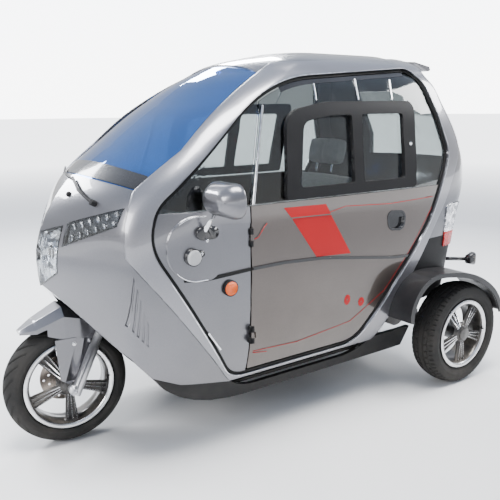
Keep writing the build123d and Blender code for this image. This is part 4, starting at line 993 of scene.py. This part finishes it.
# ---- Tail lamps: clear lenses over plated reflectors, with a red third at the foot, let into the corners of
# the tail.
tail_plating = plated("tail_plating", (0.45, 0.46, 0.48), (0.86, 0.87, 0.90), 0.10, facets=70.0)
tail_red = lens("tail_red", (0.62, 0.015, 0.015), 0.08, clear=0.1, facets=140.0)
RED_TOP = 0.735          # height up to which the lens is red
tail_mesh = shell_piece("tail_lamps", tail_plating, tail_red).data
form = bmesh.new()
form.from_mesh(tail_mesh)
cut_across(form, (0, 0, RED_TOP), (0, 0, 1))
for face in form.faces:
    face.material_index = 1 if face.calc_center_median().z < RED_TOP else 0
written(form, tail_mesh)

# ---- Mirrors: a painted shell on a short plated arm, which stands on a black foot screwed to the pod. The
# glass faces the driver.
mirror_glass = plated("mirror_glass", (0.80, 0.81, 0.83), (0.93, 0.94, 0.95), 0.01)
ARM_FOOT, ARM_RUN, ARM_R = Vector((0.522, -0.566, 0.900)), Vector((0.078, 0.004, 0.085)), 0.0085
GLASS_X, GLASS_Y, GLASS_Z = 0.628, -0.5325, 1.018        # middle of the glass
GLASS_WIDE, GLASS_TALL = 0.092, 0.048                    # half its width and height
FOOT_X, FOOT_TOP = 0.5315, 0.95                          # the black foot lies inside and below these


def mirror_part(face):
    x, y, z = abs(face.center[0]), face.center[1], face.center[2]
    on_glass = y < GLASS_Y and abs(x - GLASS_X) < GLASS_WIDE and abs(z - GLASS_Z) < GLASS_TALL
    if face.normal[1] > 0.9 and on_glass:
        return 3
    away = Vector((x, y, z)) - ARM_FOOT
    share = away.dot(ARM_RUN) / ARM_RUN.length_squared
    if x > 0.531 and (away - ARM_RUN * share).length < ARM_R and share < 1.0:
        return 2
    return 1 if x < FOOT_X and z < FOOT_TOP else 0


copied("mirrors", silver, gloss_black, chrome, mirror_glass, sort=mirror_part, angle=50)

# ---- Wiper and washer: a black steel arm on a capped pivot, with a rubber blade. A small washer jet stands
# beside it on the panel under the windscreen.
shell_piece("wiper", black_plastic)
jet_at = (0.083, front_y(0.083, 1.010), 1.010)
jet = facing_place(jet_at, shell_normals([jet_at])[0])
turned_set("washer_jet", [jet], mm((10.5, -2), (10.5, 3), (9, 6.5), (5, 9.5), (0, 10.2)), 24, "wiper",
           black_plastic, angle=60)

# ---- Door furniture: a plated rod leans against the front of each door's glass and three short posts hold
# its upper edge. A round catch locks the sliding panes.
#        foot y, z,      top y, z,       radius
RODS = [(-0.343, 0.969, -0.252, 1.325, 0.0055), (0.015, 1.344, 0.025, 1.410, 0.0036),
        (0.245, 1.346, 0.262, 1.432, 0.0036), (0.447, 1.346, 0.470, 1.432, 0.0036)]
for side, word in SIDES:
    for number, (y0, z0, y1, z1, radius) in enumerate(RODS):
        low, high = Vector(on_side(side, y0, z0, -0.0005)), Vector(on_side(side, y1, z1, -0.0005))
        length = (high - low).length
        rod = [(0.0, 0.0), (radius * 0.8, 0.0), (radius, 0.0008), (radius, length - 0.0008),
               (radius * 0.8, length), (0.0, length)]
        turned_set(f"glass_rod_{word}_{number}", [facing_place(low, high - low)], rod, 20,
                   "window_frame_" + word, chrome)
    catch = facing_place(on_side(side, 0.508, 1.16, 0.0130), (side, 0, 0))
    turned_set("window_catch_" + word, [catch], mm((8.5, -1), (8.5, 3), (7, 4.5), (3, 5), (0, 5)), 28,
               "window_frame_" + word, chrome)

# ---- Spoiler: a short fibreglass lip on the rear edge of the roof, painted with the shell. Its own shape is
# kept, shaded smooth.
copied("spoiler", silver)

# ---- Trim at the hoops: a polished bead lies along the inner edge of each, with a short plated bar low down
# on the front leg. The door glass has a black printed band under the roof rail.
HOOP_INSIDE = [(-797, 918, 190), (-215, 1425, 700), (665, 1492, 110), (790, 1110, 130), (640, 800, 500),
               (215, 296, 150), (-435, 296, 110)]
HOOP_PROUD = 0.009
polished = plated("polished_bead", (0.40, 0.41, 0.43), (0.78, 0.79, 0.82), 0.16)


def rounded_path(outline, pitch=0.015):
    """Closed outline of corners with their radii in millimetres, as points and ways out every pitch metres."""
    path = []
    for i, (y, z, radius) in enumerate(outline):
        corner = np.array((y, z), float)
        to_last = np.array(outline[i - 1][:2]) - corner
        to_next = np.array(outline[(i + 1) % len(outline)][:2]) - corner
        to_last, to_next = to_last / np.linalg.norm(to_last), to_next / np.linalg.norm(to_next)
        half = math.acos(to_last @ to_next) / 2
        middle = (to_last + to_next) / np.linalg.norm(to_last + to_next)
        centre = corner + middle * radius / math.sin(half)
        first, last = (corner + way * radius / math.tan(half) - centre for way in (to_last, to_next))
        for step in range(17):
            leg = first * (1 - step / 16) + last * step / 16
            path.append(centre + leg * radius / np.linalg.norm(leg))
    path = np.array(path + [path[0]]) / 1000
    run = np.concatenate([[0], np.cumsum(np.linalg.norm(np.diff(path, axis=0), axis=1))])
    places = np.arange(0, run[-1], pitch)
    points = np.stack([np.interp(places, run, path[:, 0]), np.interp(places, run, path[:, 1])], axis=1)
    along = np.roll(points, -1, axis=0) - np.roll(points, 1, axis=0)
    along /= np.linalg.norm(along, axis=1)[:, None]
    out = np.stack([-along[:, 1], along[:, 0]], axis=1)
    return points, out * np.sign(np.sum((points - points.mean(axis=0)) * out, axis=1).mean())


def trim_line(name, points, out, across, side, slot, finish):
    """Strip along points on the hoop; across gives pairs of distance outwards and rise."""
    rows = [[on_side(side, y + out_y * reach, z + out_z * reach, HOOP_PROUD + rise) for reach, rise in across]
            for (y, z), (out_y, out_z) in zip(points, out)]
    ribbon(name, rows, slot, finish)


edge_points, edge_out = (np.concatenate([part, part[:1]]) for part in rounded_path(HOOP_INSIDE))
bar_points = np.linspace((-0.550, 0.517), (-0.496, 0.439), 9)
bar_out = [(-0.822, -0.569)] * 9
RAIL_FROM, RAIL_TO, RAIL_LOW = -0.17, 0.59, 1.40         # the edge under the roof rail lies between these
under_rail = (edge_points[:, 1] > RAIL_LOW) & (edge_points[:, 0] > RAIL_FROM) & (edge_points[:, 0] < RAIL_TO)
BAND_UNDER = 0.0154      # depth of the door glass's face under the hoop's
for side, word in SIDES:
    trim_line("glass_band_" + word, edge_points[under_rail], edge_out[under_rail],
              [(reach, -BAND_UNDER) for reach in (-0.034, -0.026, -0.018, -0.010)], side, "door_glass_" + word,
              gloss_black)
    trim_line("hoop_bead_" + word, edge_points, edge_out,
              mm((1.2, -0.5), (1.8, 0.9), (3.4, 1.3), (5, 0.9), (5.6, -0.5)), side, "side_hoops", polished)
    trim_line("hoop_bar_" + word, bar_points, bar_out,
              mm((-4, -2), (-3.6, 1.4), (0, 2.4), (3.6, 1.4), (4, -1)), side, "side_hoops", chrome)

# ---- Front fork: two satin alloy legs in a black crown, on a raked steering stem. The axle is held in lugs
# ahead of the legs by domed nuts.
STEER_FOOT = Vector((0.0, -0.898036, 0.231849))
STEER_UP = Vector((0.0, 0.438371, 0.898794))
STEER_BACK = Vector((0.0, 0.898794, -0.438371))
AT_REST = Matrix.Rotation(math.radians(-4.5), 4, STEER_UP)


def steered(point):
    """Where a point of the straight-ahead fork is at rest."""
    return STEER_FOOT + AT_REST @ (Vector(point) - STEER_FOOT)


def along_stem(point):
    return (Vector(point) - STEER_FOOT).dot(STEER_UP)


leg_alloy = moulded("leg_alloy", (0.48, 0.48, 0.50), (0.66, 0.66, 0.68), 0.32, size=0.0008, depth=0.15,
                    dirt=0.35, worn=(0.7, 0.7, 0.72), metal=0.85, lacquer=0.3)
powder_black = moulded("powder_black", (0.010, 0.010, 0.011), (0.026, 0.026, 0.028), 0.42, size=0.0012,
                       depth=0.35, dirt=0.2)
CROWN_LOW = 0.380        # distance up the stem at which the crown begins
AXLE_X, AXLE_TOP = 0.060, 0.30


def fork_part(face):
    on_axle = abs(face.center[0]) < AXLE_X and face.center[2] < AXLE_TOP
    return 1 if along_stem(face.center) > CROWN_LOW or on_axle else 0


copied("fork", leg_alloy, powder_black, sort=fork_part)
copied("front_fender", silver, angle=12)
steel = plated("zinc_steel", (0.38, 0.38, 0.40), (0.62, 0.62, 0.64), 0.22)
NUT = mm((0, 10), (4.5, 9.5), (8, 7), (8.5, 0), (12, -0.5), (12.5, -2))
HEX = mm((0, 5.2), (4, 5.2), (5.8, 4.6), (6.2, 0), (8.5, -0.2), (8.5, -1.2))
FENDER_BOLTS = ((0.0860, -0.842, 0.424), (0.0955, -0.905, 0.425))
bolts, nuts = [], []
for side in (-1, 1):
    out = AT_REST @ Vector((side, 0, 0))
    nuts.append(facing_place(steered((side * 0.1315, -0.925, 0.245)), out))
    bolts += [facing_place(steered((side * x, y, z)), out) for x, y, z in FENDER_BOLTS]
turned_set("axle_nuts", nuts, NUT, 6, "fork", steel, angle=25)
turned_set("fender_bolts", bolts, HEX, 24, "front_fender", steel, angle=25)
crown_bolts = [facing_place(steered(STEER_FOOT + STEER_UP * 0.410 + STEER_BACK * -0.0382 + Vector((x, 0, 0))),
                            AT_REST @ -STEER_BACK) for x in (-0.030, 0.030)]
turned_set("crown_bolts", crown_bolts, HEX, 24, "fork", steel, angle=25)

# ---- Front brake: a drilled steel disc on the right of the hub, browned by heat, with the rings of its last
# turning. A dark cast caliper on the leg grips it.
spin = [j for j in frame["joints"] if j["name"] == "front_wheel_spin"][0]
copied("brake_disc", turned("disc_steel", tuple(spin["pos_m"]), tuple(spin["axis"]), (0.16, 0.13, 0.11),
                            (0.40, 0.35, 0.31), 0.32))
cast_dark = moulded("cast_dark", (0.05, 0.05, 0.052), (0.11, 0.11, 0.115), 0.5, size=0.0018, depth=0.6,
                    metal=0.7, dirt=0.3, worn=(0.3, 0.3, 0.3))
copied("brake_caliper", cast_dark)

# ---- Handlebar: a black powder-coated steel bar with brake levers and a dial pod. Its ends carry coarse
# rubber grips.
grip_rubber = moulded("grip_rubber", (0.012, 0.012, 0.012), (0.03, 0.03, 0.03), 0.7, size=0.004, depth=1.0)
GRIPS_FROM = 0.178       # distance from the middle at which the grips begin


def bar_part(face):
    return 1 if abs(face.center[0]) > GRIPS_FROM else 0


copied("handlebar", powder_black, grip_rubber, sort=bar_part)

# ---- Running gear: a cast motor and axle, black coil springs over dampers and a welded, powder-coated frame.
# The battery box, the wheel well and the rear fenders are black plastic.
def dress(node, finish):
    """Gives a node that keeps its own shape its finish."""
    data = frame["nodes"][node].data
    data.materials.clear()
    data.materials.append(finish)


for node, finish in (("rear_axle_and_motor", cast_dark), ("rear_springs", powder_black),
                     ("chassis_frame", powder_black), ("battery_box", black_plastic),
                     ("wheel_well", black_plastic)):
    dress(node, finish)
copied("rear_fenders", moulded("fender_black", (0.006, 0.006, 0.007), (0.015, 0.015, 0.017), 0.30, size=0.003,
                               depth=0.08, radius=0.004, dirt=0.12, lacquer=0.35), angle=30)

# ---- Cabin: a grained black dashboard and bulkhead, soft to the touch, and a rubber mat that covers the floor
# pan.
dash_grain = moulded("dash_grain", (0.012, 0.012, 0.013), (0.032, 0.032, 0.035), 0.6, size=0.003, depth=0.9,
                     dirt=0.15)
dress("dashboard", dash_grain)
dress("bulkhead", dash_grain)
dress("floor_pan", rubber)

# ---- Seats: foam pads in grey woven cloth, with sewn channels, on a box in front and a bench behind. The
# driver's head pad stands on two plated posts.
# Woven cloth: over and under threads with a soft slub.
weave, given, put = effect("weave", {"Thread": 0.002}, {"Tone": "Float", "Height": "Float"})
place = object_place(weave)
scaled = vectors(weave, "SCALE", place, Scale=maths(weave, "DIVIDE", math.pi, given["Thread"]))
across, back, up = [maths(weave, "SINE", part_of(weave, scaled, axis)) for axis in "XYZ"]
thread = maths(weave, "ADD", maths(weave, "MULTIPLY", across, up), maths(weave, "MULTIPLY", back, up))
slub = noise(weave, place, 120.0, 4.0)
feed(weave, put, {"Height": spread(weave, thread, -1.0, 1.0),
                  "Tone": maths(weave, "ADD", spread(weave, thread, -1.0, 1.0, 0.0, 0.5), slub)})
seat_cloth, tree = new_finish("seat_cloth")
threads = use(tree, weave, {"Thread": 0.0022})
worn_in = spread(tree, noise(tree, object_place(tree), 6.0, 4.0), 0.5, 0.8, 0.0, 0.35)
colour = blend_colours(tree, threads["Tone"], (0.30, 0.30, 0.305), (0.62, 0.62, 0.63))
finished(seat_cloth, {
    "Base Color": blend_colours(tree, worn_in, colour, (0.60, 0.585, 0.57)),
    "Roughness": spread(tree, threads["Tone"], 0.0, 1.2, 0.95, 0.8),
    "Normal": bump(tree, threads["Height"], 0.5, 0.0008),
    "Sheen Weight": 0.35})


def worked_out(piece):
    """Mesh of a piece as its modifiers leave it, and clears them."""
    bpy.context.view_layer.update()
    mesh = bpy.data.meshes.new_from_object(piece.evaluated_get(bpy.context.evaluated_depsgraph_get()))
    piece.modifiers.clear()
    return mesh


PINCH = 0.035            # how much a pad's corners draw in
SEAM_DEPTH, SEAM_WIDTH = 0.006, 0.007


def pad(name, size, place, swell, channels, voxel=0.012):
    """Stuffed pad: a box of size about its own middle, blown up like a filled cover. channels are seams across
    it, each an axis and a share of the size along it."""
    form = bmesh.new()
    bmesh.ops.create_cube(form, size=1.0)
    bmesh.ops.subdivide_edges(form, edges=form.edges[:], cuts=7, use_grid_fill=True)
    for v in form.verts:
        u = v.co * 2
        pinch = 1 - PINCH * (abs(u.x * u.y * u.z) + abs(u.x * u.y) + abs(u.y * u.z) + abs(u.x * u.z)) / 2
        v.co = Vector([c * (s - 2 * swell) / 2 * pinch for c, s in zip(u, size)])
    piece = bpy.data.objects.new(name, written(form, bpy.data.meshes.new(name)))
    bpy.context.scene.collection.objects.link(piece)
    bpy.context.view_layer.objects.active = piece
    cover = piece.modifiers.new("cover", "REMESH")
    cover.mode = "VOXEL"
    cover.voxel_size = voxel
    piece.data = worked_out(piece)
    points = np.array([v.co for v in piece.data.vertices])
    filling = piece.modifiers.new("filling", "CLOTH")
    filling.settings.use_pressure = True
    filling.settings.uniform_pressure_force = 4
    filling.settings.effector_weights.gravity = 0
    filling.settings.quality = 4
    for step in range(1, 16):
        bpy.context.scene.frame_set(step)
    graph = bpy.context.evaluated_depsgraph_get()
    move = np.array([v.co for v in piece.evaluated_get(graph).data.vertices]) - points
    piece.modifiers.clear()
    bpy.context.scene.frame_set(1)
    reach = np.linalg.norm(move, axis=1)[:, None]
    points += move * np.minimum(1, swell / np.maximum(reach, 1e-9))
    normal = np.array([v.normal for v in piece.data.vertices])
    for axis, share in channels:
        across = points[:, axis] - share * size[axis]
        points -= normal * (SEAM_DEPTH * np.exp(-(across / SEAM_WIDTH) ** 2))[:, None]
    half = np.array(size) / 2
    for v, point in zip(piece.data.vertices, np.clip(points, -half, half)):
        v.co = place @ Vector(point)
    piece.data.update()
    smoother = piece.modifiers.new("smoothed", "SUBSURF")
    smoother.levels = smoother.render_levels = 1
    piece.data = shaded(worked_out(piece))
    piece.data.materials.clear()
    piece.data.materials.append(seat_cloth)
    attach(piece, "body")
    return piece


low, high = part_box("driver_seat_cushion")
cushion = pad("driver_cushion", tuple(high - low), Matrix.Translation((low + high) / 2), 0.010,
              [(0, -0.30), (0, 0.30), (1, 0.12)])
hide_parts("driver_seat_cushion")
BACK_LEAN = Matrix.Translation((0, 0.330, 0.5486)) @ Matrix.Rotation(math.radians(-12), 4, "X")
back = pad("driver_back", (0.450, 0.080, 0.480), BACK_LEAN @ Matrix.Translation((0, 0, 0.240)), 0.009,
           [(0, -0.28), (0, 0.28), (2, 0.15), (2, -0.12)])
pad("driver_head_pad", (0.240, 0.076, 0.135), BACK_LEAN @ Matrix.Translation((0, 0, 0.5725)), 0.009,
    [(0, 0.0)], voxel=0.008)
posts = [BACK_LEAN @ Matrix.Translation((x, 0, 0.470)) for x in (-0.055, 0.055)]
turned_set("head_pad_posts", posts, mm((0, 0), (6, 0), (6, 50), (0, 50)), 16, "driver_seat_back", chrome)
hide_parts("driver_seat_back")
bench = pad("bench_cushion", (0.660, 0.260, 0.1205), Matrix.Translation((0, 0.630, 0.53955)), 0.010,
            [(0, -0.17), (0, 0.17)])
BENCH_LEAN = Matrix.Translation((0, 0.7603, 0.6003)) @ Matrix.Rotation(math.radians(-8), 4, "X")
pad("bench_back", (0.640, 0.060, 0.330), BENCH_LEAN @ Matrix.Translation((0, 0.030, 0.165)), 0.007,
    [(0, -0.17), (0, 0.17), (2, 0.10)])
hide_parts("rear_bench")
